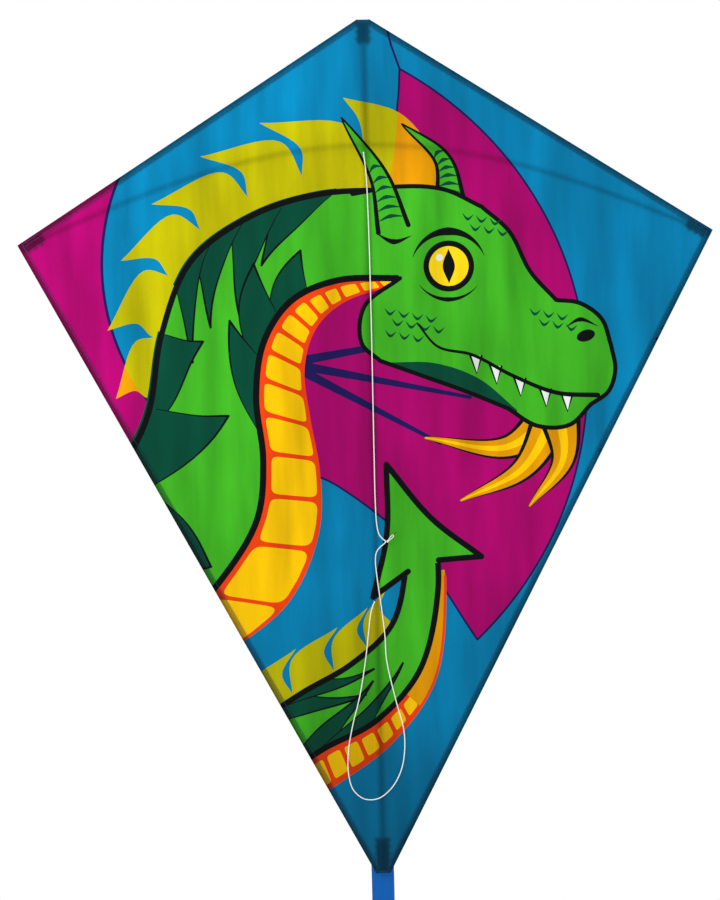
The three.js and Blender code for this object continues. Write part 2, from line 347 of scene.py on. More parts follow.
def linear(*rgb):
    """0 to 255 as on a screen, to linear light."""
    return tuple((c / 255 / 12.92) if c <= 10 else ((c / 255 + 0.055) / 1.055) ** 2.4 for c in rgb)


def woven(nodes, thread):
    """The relief of a plain weave with that thread spacing in metres."""
    return nodes.math("MULTIPLY", nodes.wave(nodes.uv(), thread, "X"), nodes.wave(nodes.uv(), thread, "Y"))


def rod_shadow(nodes):
    """How much light the cloth passes by place: less where the spine and the spar lie close behind it."""
    split = nodes.add("ShaderNodeSeparateXYZ", sockets={"Vector": nodes.uv()})
    x, z = split.outputs["X"], split.outputs["Y"]
    turn = nodes.math("MULTIPLY", x, math.pi / (2 * SPAR_QUARTER_WAVE))
    height = nodes.math("MULTIPLY", nodes.math("SUBTRACT", nodes.math("COSINE", turn), 1), SPAR_DROP)
    off_spar = nodes.math("ABSOLUTE", nodes.math("SUBTRACT", z, height))
    spine = nodes.span(nodes.math("ABSOLUTE", x), 0.70, 1.0, 0.5 * MM, 6 * MM)
    spar = nodes.span(off_spar, 0.80, 1.0, 0.5 * MM, 5 * MM)
    return nodes.math("MULTIPLY", spine, spar)


def cloth_material(name, passed, creases=1.0):
    """Thin printed polyester, which passes that share of light. The print is in the mesh's colours, and
    painted crease shade in soft upright streaks and the painted rod shadow darken it here.
    """
    n = Nodes(name)
    printed = n.add("ShaderNodeVertexColor", "Color", layer_name="print")
    # Painted crease shade: soft upright streaks, lighter and darker.
    painted_crease_shade = n.span(n.noise(n.uv(30, 4), 1.0, 3.0), 0.70, 1.28, 0.25, 0.75)
    clouds = n.span(n.noise(n.uv(9, 7), 1.0, 2.0), 0.86, 1.14, 0.25, 0.75)
    ink = n.span(n.noise(n.uv(), 2600, 2.0), 0.93, 1.07)
    amount = n.math("MULTIPLY", n.math("MULTIPLY", painted_crease_shade, clouds), n.math("MULTIPLY", ink, rod_shadow(n)))
    colour = n.tinted(printed, amount)
    weave = n.bump(woven(n, 0.34 * MM), 0.05 * MM, 0.8)
    crease = n.bump(n.noise(n.uv(64, 20), 1.0, 4.0), 2.6 * MM, 0.5 * creases, Normal=weave)
    roughness = n.span(n.noise(n.uv(), 300, 3.0), 0.48, 0.66)
    sheen = {"Specular_IOR_Level": 0.09, "Sheen_Weight": 0.02, "Sheen_Roughness": 0.4}
    front = n.principled(colour, roughness, crease, **sheen)
    return n.finish(n.see_through(front, passed, colour, Normal=crease))


def plain_material(name, colour, grain, rough, relief, tones=(0.78, 1.22), **fixed):
    """A piece of one colour, with grain in its colour, roughness and relief.
    grain is how many times the noise repeats across and along a metre."""
    n = Nodes(name)
    noise = n.noise(n.uv(*grain), 1.0, 4.0)
    tone = n.tinted(colour, n.span(noise, *tones))
    return n.finish(n.principled(tone, n.span(noise, *rough), n.bump(noise, relief), **fixed))


def braid_material(name, colour, pitch):
    """A thin braided or twisted line: two sets of slanting threads."""
    n = Nodes(name)
    turned = []
    for sign in (1, -1):
        slant = {"Vector": n.uv(), "Rotation": (0, 0, sign * math.radians(38))}
        turned.append(n.wave(n.add("ShaderNodeMapping", "Vector", slant), pitch))
    relief = n.math("MULTIPLY", *turned)
    # Painted shade: the colour is darker in the grooves between the threads.
    tone = n.tinted(colour, n.span(relief, 0.78, 1.05))
    fuzz = n.noise(n.uv(), 5000, 2.0)
    normal = n.bump(n.math("ADD", relief, n.math("MULTIPLY", fuzz, 0.4)), 0.12 * MM)
    return n.finish(n.principled(tone, n.span(fuzz, 0.6, 0.85), normal))


def ribbon_material(name, colour, passed):
    """Plain woven nylon ribbon, which passes that share of light."""
    n = Nodes(name)
    noise = n.noise(n.uv(220, 30), 1.0, 3.0)
    tone = n.tinted(colour, n.span(noise, 0.82, 1.15))
    weave = n.bump(woven(n, 0.3 * MM), 0.05 * MM, 0.7)
    soft = n.bump(n.noise(n.uv(), 70, 2.0), 0.6 * MM, 0.3, Normal=weave)
    front = n.principled(tone, n.span(noise, 0.36, 0.55), soft, **CLOTH_SHEEN)
    return n.finish(n.see_through(front, passed, tone))


# Name in the scene, screen colour, noise across and along a metre, roughness from and to, relief in mm, and
# other settings
CLOTH_SHEEN = {"Specular_IOR_Level": 0.15, "Sheen_Weight": 0.03}
PLAIN = {
    "pocket": ("pocket_cloth", (4, 52, 98), (420, 420), (0.6, 0.85), 0.3, CLOTH_SHEEN),
    "rod": ("rod_fibreglass", (38, 40, 46), (2600, 14), (0.22, 0.42), 0.03, {"Coat_Weight": 0.25}),
    "cap": ("cap_vinyl", (16, 17, 19), (900, 900), (0.55, 0.75), 0.06, {}),
    "fitting": ("fitting_nylon", (22, 24, 28), (1400, 1400), (0.38, 0.6), 0.05, {}),
    "ring": ("ring_metal", (150, 62, 48), (5000, 300), (0.2, 0.42), 0.02, {"Metallic": 1.0}),
    "band": ("band_plastic", (196, 168, 124), (2000, 400), (0.4, 0.6), 0.05, {}),
    "floor": ("floor_paint", (226, 226, 224), (40, 40), (0.6, 0.75), 0.1, {"tones": (0.99, 1.01)}),
}


def make_materials():
    made = {
        "sail": cloth_material("printed_sail", 0.42),
        "hem": cloth_material("folded_hem", 0.2, creases=1.6),
        "thread": braid_material("sewing_thread", linear(28, 84, 132), 0.35 * MM),
        "line": braid_material("bridle_braid", linear(246, 245, 240), 0.55 * MM),
        "ribbon": ribbon_material("tail_ribbon_nylon", linear(0, 86, 166), 0.2),
    }
    for key, (name, colour, grain, rough, relief, fixed) in PLAIN.items():
        made[key] = plain_material(name, linear(*colour), grain, rough, relief * MM, **fixed)
    return made


def paint(made, material):
    made.data.materials.clear()
    made.data.materials.append(material)
    return made


def stand_in(made, material, body, node):
    """A painted piece that follows a body and takes the place of a CAD node."""
    paint(made, material)
    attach(made, body)
    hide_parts(node)
    return made


# ---------------------------------------------------------------- the print
# A plain dragon in flat colours. Each shape is painted over the ones before it. Millimetres on the flat sail.

DYE = 0.84


def dye(*rgb):
    """A screen colour as the dye that gives it under this studio's light."""
    return tuple(DYE * c for c in linear(*rgb))


INK = {
    "blue": dye(0, 124, 172),
    "magenta": dye(166, 0, 104),
    "navy": dye(30, 22, 88),
    "olive": dye(184, 178, 0),
    "orange": dye(222, 150, 0),
    "green": dye(64, 176, 34),
    "dark_green": dye(0, 72, 52),
    "black": dye(8, 12, 14),
    "red": dye(238, 66, 12),
    "yellow": dye(250, 198, 0),
    "eye": dye(250, 214, 20),
    "white": dye(232, 240, 236),
}
COLOURS = sorted(INK)
MIXED = {"magenta": "orange"}
BODY_LINE = 6.4
FACE_LINE = 4.8
EDGE_LINE = 2.4


class Print:
    """The shapes of the print, in the order they are painted."""

    def __init__(self):
        self.shapes = []

    def fill(self, colour, outline, over=None):
        """over gives another colour where the shape lies on a named one, as where inks mix."""
        self.shapes.append((colour, np.array(outline, float), over or {}))

    def stroke(self, colour, line, width, start=1.0, end=1.0):
        """A line with round ends, whose width runs evenly from start to end times the full one."""
        points = np.array(line, float)
        keep = np.concatenate([[True], np.linalg.norm(np.diff(points, axis=0), axis=1) > 1e-6])
        points = points[keep]
        ahead, sideways = headings(points)
        share = np.linspace(0, 1, len(points))[:, None]
        half = width / 2 * (start + (end - start) * share)
        left = points + sideways * half
        right = points - sideways * half
        near = round_end(points[0], -ahead[0], half[0, 0])
        far = round_end(points[-1], ahead[-1], half[-1, 0])
        self.fill(colour, [*left, *far, *right[::-1], *near])

    def tapered(self, colour, line, width):
        """A line that is thickest in the middle and ends in two points."""
        points = np.array(line, float)
        half = len(points) // 2
        self.stroke(colour, points[: half + 1], width, 0.04, 1.0)
        self.stroke(colour, points[half:], width, 1.0, 0.04)


def headings(points):
    """The unit direction along a line at each of its points, and the one to its left."""
    ahead = np.gradient(points, axis=0)
    ahead /= np.linalg.norm(ahead, axis=1)[:, None]
    return ahead, np.stack([-ahead[:, 1], ahead[:, 0]], axis=1)


def round_end(place, ahead, radius, steps=8):
    """Points round the end of a line, from its left side to its right."""
    left = np.array([-ahead[1], ahead[0]])
    angles = [math.pi * i / steps for i in range(1, steps)]
    return [place + radius * (left * math.cos(a) + ahead * math.sin(a)) for a in angles]


def arc(centre, radius, start, end, steps=40):
    """Points on an arc, in degrees anticlockwise from the right.
    radius may be a function of the place along the arc, -1 to 1."""
    made = []
    for i in range(steps + 1):
        share = 2 * i / steps - 1
        angle = math.radians(start + (end - start) * i / steps)
        reach = radius(share) if callable(radius) else radius
        made.append((centre[0] + reach * math.cos(angle), centre[1] + reach * math.sin(angle)))
    return made


class Band:
    """A bent strip between two lines. Places on it are across, 0 to 1, and along, 1 for each given point."""

    def __init__(self, outer, inner):
        self.steps = 24
        self.outer = smooth_curve(outer, self.steps)
        self.inner = smooth_curve(inner, self.steps)

    def at(self, across, along):
        place = min(max(along * self.steps, 0), len(self.outer) - 1.001)
        i = int(place)
        a = self.outer[i] + (self.outer[i + 1] - self.outer[i]) * (place - i)
        b = self.inner[i] + (self.inner[i + 1] - self.inner[i]) * (place - i)
        return a + (b - a) * across

    def line(self, across, start, end, steps=60):
        return [self.at(across, start + (end - start) * i / steps) for i in range(steps + 1)]

    def outline(self, start, end):
        return self.line(0, start, end) + self.line(1, start, end)[::-1]

    def path(self, *places, steps=8):
        """A smooth curve through places given as (across, along)."""
        return [self.at(*p) for p in smooth_curve(places, steps)]


def paint_background(art):
    fan = arc((-62, -248), lambda share: 300 + 45 * share * share, -60, 73, steps=60)
    top, foot = fan[-1], fan[0]
    upper_edge = curve(top, (36, 46), (14, -60), (-60, -120), (-120, -250))
    lower_edge = curve((-120, -250), (-118, -330), (-40, -372), (40, -440), foot)
    art.fill("magenta", joined(fan, upper_edge, lower_edge))
    for line in (fan, upper_edge, lower_edge):
        art.stroke("navy", line, EDGE_LINE)
    art.stroke("navy", [top, (30, 108), (24, 134)], EDGE_LINE)
    for angle, reach in ((9, 175), (-12, 205), (-29, 190)):
        ray = (math.cos(math.radians(angle)), math.sin(math.radians(angle)))
        rib = [(-92 + ray[0] * r, -236 + ray[1] * r) for r in np.linspace(0, reach, 12)]
        art.stroke("navy", rib, 11, 1.0, 0.35)
    corner_arc = arc((-45, -130), 246, 150, 232)
    art.fill("magenta", [*corner_arc, (-420, -330), (-420, 0)])
    art.stroke("navy", corner_arc, 3.2)


def paint_fins(art, band, fins, curl, root):
    """Fins along the outer line of a band, each (start, end, height).
    Their tips lean back by curl times the height, and neighbours meet at root times the height."""
    for start, end, height in fins:
        base = band.line(0.03, start, end, 12)
        away_start, away_end = (normal_of(band, along) for along in (start, end))
        back = np.array((away_end[1], -away_end[0])) * math.copysign(1, end - start)
        if back @ (base[-1] - base[0]) < 0:
            back = -back
        first = base[0] + away_start * height * root
        last = base[-1] + away_end * height * root
        rising = base[3] + away_start * height * 0.80
        tip = base[-1] + away_end * height + back * curl * height
        hollow = base[-1] + away_end * height * 0.60 - back * 0.05 * height
        fin = joined(curve(first, rising, tip), curve(tip, hollow, last))
        art.fill("olive", [base[0], *fin, *base[::-1]], MIXED)


def normal_of(band, along):
    """The unit direction out of a band's outer line."""
    out = band.at(0, along) - band.at(0.2, along)
    return out / np.linalg.norm(out)


def paint_belly(art, belly, start, end, count, growth):
    """An orange-red strip with rounded yellow plates that grow along it."""
    art.fill("red", belly.outline(start, end))
    sizes = np.array([growth**i for i in range(count)])
    edges = start + (end - start) * np.concatenate([[0], np.cumsum(sizes)]) / sizes.sum()
    for first, last in zip(edges, edges[1:]):
        length = np.linalg.norm(belly.at(0.5, first + 0.05) - belly.at(0.5, first)) / 0.05
        border = 2.4 / max(length, 1)
        width = np.linalg.norm(belly.at(1, first) - belly.at(0, first))
        side = min(6.0 / max(width, 1), 0.2)
        plate = []
        for angle in round_angles(32):
            reach = [squarish(v, 0.28) for v in (math.cos(angle), math.sin(angle))]
            across = side * 1.5 + (1 - side * 2.3) * (reach[0] + 1) / 2
            along = first + border + (last - first - 2 * border) * (reach[1] + 1) / 2
            slant = (across - 0.5) * -0.10
            plate.append(belly.at(across, along + slant))
        art.fill("yellow", plate)


def paint_spikes(art, band, spikes, base):
    """Pointed markings that start on the line at across=base, each (start, end, tip across, tip along)."""
    for start, end, tip_across, tip_along in spikes:
        outward = -0.04 if base < 0.5 else 1.04
        waist = (base * 0.4 + tip_across * 0.6, start * 0.55 + tip_along * 0.45)
        hollow = ((base + tip_across) / 2, end * 0.6 + tip_along * 0.4)
        front = band.path((base, start), waist, (tip_across, tip_along))
        rear = band.path((tip_across, tip_along), hollow, (base, end))
        rim = band.line(outward, end, start, 10)
        art.fill("dark_green", [*joined(front, rear), *rim])
        art.stroke("black", front[1:], 2.6, 0.3, 1.0)
        art.stroke("black", rear[:-1], 2.6, 1.0, 0.3)


NECK_OUTER = (
    (38, -50), (-50, -52), (-126, -74), (-194, -122), (-228, -200), (-246, -290), (-292, -380),
    (-320, -480), (-340, -570),
)
NECK_INNER = (
    (38, -146), (-36, -147), (-86, -168), (-117, -212), (-127, -272), (-121, -342), (-130, -408),
    (-176, -478), (-240, -540),
)
NECK_BELLY = (
    (38, -150), (-30, -172), (-60, -200), (-73, -242), (-68, -298), (-59, -356), (-62, -424),
    (-98, -500), (-170, -556),
)
TAIL_OUTER = ((-150, -640), (-88, -601), (-28, -568), (16, -527), (32, -470), (34, -420))
TAIL_INNER = ((-120, -700), (-66, -664), (-4, -633), (46, -578), (68, -490), (66, -420))
TAIL_BELLY = ((-104, -732), (-46, -699), (14, -656), (62, -590), (76, -490), (72, -420))


def paint_neck(art):
    neck = Band(NECK_OUTER, NECK_INNER)
    belly = Band(NECK_INNER, NECK_BELLY)
    art.fill("green", neck.outline(0, 8))
    back = [(0.8, 1.7, 0.50, 2.2), (1.5, 2.3, 0.66, 3.0), (2.1, 2.9, 0.44, 3.5), (2.6, 3.4, 0.34, 4.1)]
    side = [(4.0, 5.3, 0.40, 3.75), (4.9, 6.2, 0.70, 4.55), (5.6, 7.2, 0.86, 6.7)]
    paint_spikes(art, neck, back + side, 0.0)
    paint_spikes(art, neck, [(2.7, 1.6, 0.56, 1.5), (3.6, 2.4, 0.44, 2.3), (4.6, 3.3, 0.60, 3.2)], 1.0)
    paint_belly(art, belly, 0.1, 8, 15, 1.09)
    art.stroke("black", belly.line(0, 0.05, 7.9), BODY_LINE + 0.6)
    art.stroke("black", neck.line(0, 0.2, 7.9), BODY_LINE)


def paint_tail(art):
    tail = Band(TAIL_OUTER, TAIL_INNER)
    belly = Band(TAIL_INNER, TAIL_BELLY)
    paint_fins(art, tail, [(0.1, 0.9, 52), (0.9, 1.65, 50), (1.65, 2.35, 46), (2.35, 3.0, 40)], 0.42, 0.14)
    art.fill("green", tail.outline(0, 5))
    paint_spikes(art, tail, [(0.1, 1.0, 0.55, 2.0), (0.6, 1.5, 0.30, 2.3)], 0.0)
    paint_spikes(art, tail, [(0.1, 1.2, 0.45, 2.2), (0.9, 1.9, 0.62, 2.8)], 1.0)
    paint_belly(art, belly, 0.3, 2.9, 9, 0.96)
    art.fill("orange", belly.outline(2.6, 4.3))
    art.stroke("red", belly.line(1, 0.4, 4.2), 3.0)
    art.stroke("black", tail.line(0, 0.2, 4.8), BODY_LINE)
    art.stroke("black", tail.line(1, 0.2, 4.8), BODY_LINE)
    paint_arrow(art, tip=(14, -350), notch=(52, -462), half_width=64, sweep=14)


def paint_arrow(art, tip, notch, half_width, sweep):
    """The pointed end of the tail: two curved sides, and two barbs that sweep back past the notch."""
    tip, notch = np.array(tip, float), np.array(notch, float)
    ahead = (tip - notch) / np.linalg.norm(tip - notch)
    aside = np.array([-ahead[1], ahead[0]])
    barbs = [notch + aside * half_width * side - ahead * sweep for side in (1, -1)]
    bends = [tip * 0.45 + barb * 0.55 - aside * side * 9 for side, barb in zip((1, -1), barbs)]
    sides = [curve(tip, bend, barb) for bend, barb in zip(bends, barbs)]
    outline = [*sides[0], notch, *sides[1][:0:-1]]
    art.fill("green", outline)
    for side in sides:
        art.stroke("black", side, BODY_LINE)
    for barb, side in zip(barbs, (1, -1)):
        root = notch + aside * side * 18 - ahead * 1.0
        art.stroke("black", [barb, root], BODY_LINE)


def paint_crest(art):
    neck = Band(NECK_OUTER, NECK_INNER)
    front = joined(curve((94, -54), (72, -6), (38, 34), (-24, 52)), curve((-24, 52), (-6, 24), (-4, -52)))
    art.fill("olive", front, MIXED)
    ends = (0.4, 1.2, 1.95, 2.65, 3.35, 4.1, 4.8)
    heights = (92, 84, 74, 66, 58, 40)
    paint_fins(art, neck, zip(ends, ends[1:], heights), 0.36, 0.30)


def paint_horn(art, root, bend, tip, width):
    """A horn that tapers along a curve, with six rings across its lower part."""
    line = np.array(curve(root, bend, tip, steps=16))
    shares = np.linspace(0, 1, len(line))
    aside = headings(line)[1] * (width / 2 * (1 - shares) ** 0.8)[:, None]
    left, right = line + aside, line - aside
    art.fill("green", [*left, *right[::-1]])
    for at in range(3, 21, 3):
        art.tapered("dark_green", curve(left[at], line[at + 1], right[at]), 4.5)
    art.stroke("black", left, FACE_LINE, 1.1, 0.4)
    art.stroke("black", right, FACE_LINE, 1.1, 0.4)


def paint_head(art):
    """A plain round-nosed reptile head in profile, with a pair of ringed horns that sweep back."""
    paint_horn(art, (92, -64), (84, -18), (40, 22), 30)
    crown = curve((-16, -53), (34, -46), (84, -50), (126, -70))
    bridge = curve((126, -70), (156, -98), (178, -142), (206, -174))
    nose = curve((206, -174), (232, -178), (256, -196), (266, -226))
    snout = curve((266, -226), (270, -252), (262, -276), (242, -290))
    chin = curve((242, -290), (218, -312), (182, -312), (150, -292))
    jaw = curve((150, -292), (104, -272), (52, -252), (10, -236))
    cheek = curve((10, -236), (-10, -216), (-6, -176), (34, -146))
    profile = (crown, bridge, nose, snout, chin, jaw, cheek)
    art.fill("green", joined(*profile))
    shadow_edge = curve((20, -238), (70, -240), (118, -258), (160, -294))
    art.fill("dark_green", [*shadow_edge, *curve((160, -296), (104, -274), (52, -254), (20, -240))])
    for stretch in profile:
        art.stroke("black", stretch, FACE_LINE)
    paint_scales(art)
    paint_mouth(art)
    paint_eye(art, (88, -134), 28)
    paint_horn(art, (28, -92), (14, -36), (-26, 30), 34)
    art.tapered("black", curve((8, -96), (28, -106), (48, -100)), 6)


def paint_scales(art):
    """Rows of small curved scales on the crown, the cheek and the nose."""
    crown = (((104, -76), 3), ((112, -88), 3))
    cheek = (((16, -178), 4), ((24, -190), 4), ((16, -202), 3))
    nose = (((176, -182), 3), ((186, -194), 3))
    for (x, z), count in crown + cheek + nose:
        for i in range(count):
            left, top = x + 15 * i, z - 3 * i
            art.tapered("dark_green", curve((left, top), (left + 6, top - 7), (left + 13, top - 2)), 3.4)


def paint_eye(art, centre, radius):
    """A round eye with an upright pupil, under a plain curved lid."""
    art.fill("black", arc(centre, radius, 0, 360))
    art.fill("eye", arc(centre, radius * 0.78, 0, 360))
    x, z = centre
    top, foot = (x, z + radius * 0.68), (x, z - radius * 0.68)
    sides = [(x + radius * side, z) for side in (0.24, -0.24)]
    art.fill("black", joined(curve(top, sides[0], foot), curve(foot, sides[1], top)))
    art.fill("white", arc((x - radius * 0.36, z + radius * 0.34), radius * 0.14, 0, 360, 12))
    art.tapered("black", arc((x, z - 4), radius * 1.5, 160, 20), 9)
    art.tapered("black", arc((x, z + 4), radius * 1.45, 215, 320), 5)


def paint_mouth(art):
    """A closed mouth that curls up at its corner, with even teeth along it, and one nostril."""
    mouth = curve((52, -196), (74, -222), (112, -232), (156, -256), (204, -276), (250, -280), steps=12)
    for share in (0.42, 0.53, 0.64, 0.75, 0.86):
        x, z = mouth[int(share * (len(mouth) - 1))]
        paint_tooth(art, (x, z), 13, 19)
    art.stroke("black", mouth, 5.4, 0.4, 1.0)
    nostril = [
        (238 + 10 * math.cos(a) - 2 * math.sin(a), -214 + 3 * math.cos(a) + 6 * math.sin(a))
        for a in np.linspace(0, 2 * math.pi, 24)
    ]
    art.fill("black", nostril)
    art.tapered("black", curve((216, -204), (232, -196), (252, -204)), 5)


def paint_tooth(art, foot, width, drop):
    """A short pointed tooth hanging from the lip."""
    x, z = foot
    outline = [(x - width / 2, z + 2), (x + width * 0.05, z - drop), (x + width / 2, z)]
    art.fill("white", outline)
    art.stroke("black", outline, 2.4)


def paint_flames(art):
    """Three curling flames from the front of the mouth, each of a black, an orange and a yellow tongue."""
    root = np.array((206, -292))
    for bend, tip in (((150, -334), (58, -322)), ((166, -358), (96, -392)), ((210, -350), (172, -400))):
        tongue = curve(root, bend, tip, steps=14)
        for colour, width in (("black", 52), ("orange", 40), ("yellow", 13)):
            art.stroke(colour, tongue, width, 1.0, 0.06)


def make_print():
    art = Print()
    paint_background(art)
    paint_crest(art)
    paint_tail(art)
    paint_neck(art)
    paint_flames(art)
    paint_head(art)
    return art


# ---------------------------------------------------------------- the sail


def inside(points, outline):
    """Which points lie inside an outline, by winding number."""
    x, z = points[:, 0], points[:, 1]
    found = np.zeros(len(points), bool)
    lows, highs = outline.min(0), outline.max(0)
    near = np.flatnonzero((x >= lows[0]) & (x <= highs[0]) & (z >= lows[1]) & (z <= highs[1]))
    winding = np.zeros(len(near), int)
    x, z = x[near], z[near]
    for (x0, z0), (x1, z1) in zip(outline, np.roll(outline, -1, axis=0)):
        side = (x1 - x0) * (z - z0) - (x - x0) * (z1 - z0)
        winding += ((z0 <= z) & (z1 > z) & (side > 0)).astype(int)
        winding -= ((z0 > z) & (z1 <= z) & (side < 0)).astype(int)
    found[near] = winding != 0
    return found


def colours_at(art, points):
    """The ink at each point, in millimetres, as an index into COLOURS."""
    ink = np.full(len(points), COLOURS.index("blue"))
    for colour, outline, over in art.shapes:
        within = inside(points, outline)
        changed = np.full(len(points), COLOURS.index(colour))
        for under, instead in over.items():
            changed[ink == COLOURS.index(under)] = COLOURS.index(instead)
        ink[within] = changed[within]
    return ink


def half_outline(side):
    return [(0, NOSE.z), (side * NOSE.x, NOSE.z), (side * TIP.x, TIP.z), (side * FOOT.x, FOOT.z), (0, FOOT.z)]


def edge_distance(points, side):
    """How far each point lies inside the leading and trailing edges of its half, in metres."""
    distances = []
    corners = half_outline(side)[1:4]
    for a, b in zip(corners, corners[1:]):
        a, b = np.array(a), np.array(b)
        along = (b - a) / np.linalg.norm(b - a)
        offset = points - a
        distances.append(np.abs(offset[:, 0] * along[1] - offset[:, 1] * along[0]))
    return np.minimum(*distances)


def from_edges(flat):
    """How far each point lies inside the edges of the half that it is on, in metres."""
    return np.where(flat[:, 0] < 0, edge_distance(flat, -1), edge_distance(flat, 1))


def smooth_step(value, start, end):
    t = np.clip((value - start) / (end - start), 0, 1)
    return t * t * (3 - 2 * t)


class Folds:
    """Soft creases in the cloth: straight, mostly upright ridges and hollows, at places drawn from a seed."""

    def __init__(self, count, seed):
        draw = random.Random(seed)
        self.folds = []
        for _ in range(count):
            x = draw.uniform(-0.33, 0.33)
            z = draw.uniform(-0.68, 0.08)
            lean = draw.gauss(0, 0.10) + x * 0.45
            height = draw.uniform(0.05, 0.16)
            width = draw.uniform(0.004, 0.018)
            depth = draw.uniform(0.35, 1.0) * draw.choice((-0.55, 1)) * MM
            self.folds.append((x, z, lean, height, width, depth))

    def depth(self, x, z):
        total = np.zeros_like(x)
        for x0, z0, lean, height, width, depth in self.folds:
            across = (x - x0) - lean * (z - z0)
            total += depth * np.exp(-((across / width) ** 2) - ((z - z0) / height) ** 2)
        return total


FOLDS = Folds(count=84, seed=11)


def sail_y(x, z):
    """Depth of the cloth. It is flat along the edges and over the spine, and billows slightly between."""
    x, z = np.asarray(x, float), np.asarray(z, float)
    flat = np.stack([x, z], axis=-1).reshape(-1, 2)
    edge = from_edges(flat).reshape(x.shape)
    free = smooth_step(edge, 6 * MM, 35 * MM) * smooth_step(np.abs(x), 7 * MM, 30 * MM)
    billow = 1.4 * MM * np.sin(np.clip(np.abs(x) / 0.28, 0, 1) * math.pi)
    ripple = 0.25 * MM * np.sin(x * 2 * math.pi / 0.047 + 3 * z) * np.sin(z * 2 * math.pi / 0.31 + 1)
    return CLOTH_Y + free * (FOLDS.depth(x, z) + billow + ripple)


def spread_points(side, spacing, clear_of):
    """A triangular grid over half of the sail, in millimetres, that keeps clear of the given points."""
    tree = kdtree.KDTree(len(clear_of))
    for i, p in enumerate(clear_of):
        tree.insert((p[0], p[1], 0), i)
    tree.balance()
    row_height = spacing * math.sqrt(3) / 2
    candidates = []
    for row, z in enumerate(np.arange(FOOT.z / MM + spacing / 2, NOSE.z / MM, row_height)):
        first = spacing * (0.5 if row % 2 else 1.0)
        candidates += [(side * x, z) for x in np.arange(first, TIP.x / MM, spacing)]
    candidates = np.array(candidates)
    corners = np.array(half_outline(side)) / MM
    candidates = candidates[inside(candidates, corners)]
    far_in = edge_distance(candidates * MM, side) > 0.45 * spacing * MM
    return [p for p in candidates[far_in] if tree.find((p[0], p[1], 0))[2] > 0.38 * spacing]


def subdivided(outline, spacing):
    """A closed outline with points added along its sides."""
    points = []
    for a, b in zip(outline, np.roll(outline, -1, axis=0)):
        count = max(1, round(float(np.linalg.norm(b - a)) / spacing))
        points += [a + (b - a) * i / count for i in range(count)]
    return points


def sail_triangles(art, side, spacing=4.5):
    """Half of the sail, cut along every edge of the print: points in metres, triangles, and their inks."""
    outline = np.array(half_outline(side)) / MM
    shapes = [shape for _, shape, _ in art.shapes if (side * shape[:, 0]).max() > -1]
    holes = [hole_outline(z) for z in HOLE_HEIGHTS] if side < 0 else []
    loops = [subdivided(outline, spacing), *(subdivided(shape, spacing * 1.6) for shape in shapes), *holes]
    points, edges = [], []
    for loop in loops:
        start = len(points)
        points += [tuple(p) for p in loop]
        edges += [(start + i, start + (i + 1) % len(loop)) for i in range(len(loop))]
    points += [tuple(p) for p in spread_points(side, spacing, points)]
    made = delaunay_2d_cdt([Vector(p) for p in points], edges, [], 0, 1e-4)
    flat = np.array([tuple(v) for v in made[0]])
    triangles = np.array(made[2])
    centres = flat[triangles].mean(1)
    keep = inside(centres, outline)
    for hole in holes:
        keep &= ~inside(centres, np.array(hole))
    triangles, centres = triangles[keep], centres[keep]
    used, packed = np.unique(triangles, return_inverse=True)
    return flat[used] * MM, packed.reshape(-1, 3), colours_at(art, centres)


# The bridle's two holes, in millimetres
HOLE_X = -3.0
HOLE_RADIUS = 1.3
HOLE_HEIGHTS = (-8.0, -501.0)


def hole_outline(z):
    return [(HOLE_X + HOLE_RADIUS * math.cos(a), z + HOLE_RADIUS * math.sin(a)) for a in round_angles(14)]


def painted_light_at(x, z):
    """Painted light and shade: the print made lighter towards the upper left and darker at the foot."""
    x, z = np.asarray(x, float), np.asarray(z, float)
    # Painted light towards the upper left, and painted shade towards the foot.
    painted_light_upper_left = 0.34 * smooth_step(-x + 0.5 * z, -0.12, 0.30)
    foot = -0.52 * smooth_step(-z, 0.42, 0.86)
    return 1.0 + painted_light_upper_left + foot


def colour_mesh(made, inks, passed):
    """Writes the print into a mesh: one ink a face, with painted light and shade by place.
    passed gives painted shade: the share of light that the cloth is taken to let through, multiplied into the
    colour."""
    mesh = made.data
    layer = mesh.color_attributes.new(name="print", type="FLOAT_COLOR", domain="CORNER")
    table = np.array([INK[c] for c in COLOURS])
    corners = np.zeros(len(mesh.loops), int)
    mesh.loops.foreach_get("vertex_index", corners)
    places = np.array([v.co for v in mesh.vertices])[corners]
    totals = np.zeros(len(mesh.polygons), int)
    mesh.polygons.foreach_get("loop_total", totals)
    # Painted light and shade by place, times the painted shade that passed gives, multiplied into the inks.
    painted_shade = painted_light_at(places[:, 0], places[:, 2]) * passed(places)
    colours = table[np.repeat(inks, totals)] * painted_shade[:, None]
    opaque = np.column_stack([colours, np.ones(len(colours))])
    layer.data.foreach_set("color", opaque.astype(np.float32).ravel())
    mesh.color_attributes.active_color = layer


def painted_pocket_shade(flat):
    """Painted shade where a pocket and a rod's end lie behind the sail: the share of light taken to come
    through, multiplied into the colour.
    """
    x, z = flat[:, 0], flat[:, 1]
    passed = np.ones(len(flat))
    for node, half_width in (("nose_pocket", 7 * MM), ("tail_pocket", 8.5 * MM)):
        within = (np.abs(x) < half_width) & (z > low(node).z) & (z < high(node).z)
        passed[within] = 0.52
    for side in WINGS.values():
        start, inward, below = tip_axes(side)
        along = (x - start.x) * inward.x + (z - start.z) * inward.z
        across = (x - start.x) * below.x + (z - start.z) * below.z
        within = (along > -TIP_INSET) & (along < TIP_POCKET_LENGTH) & (np.abs(across) < TIP_POCKET_HALF)
        passed[within] = 0.42
    return passed


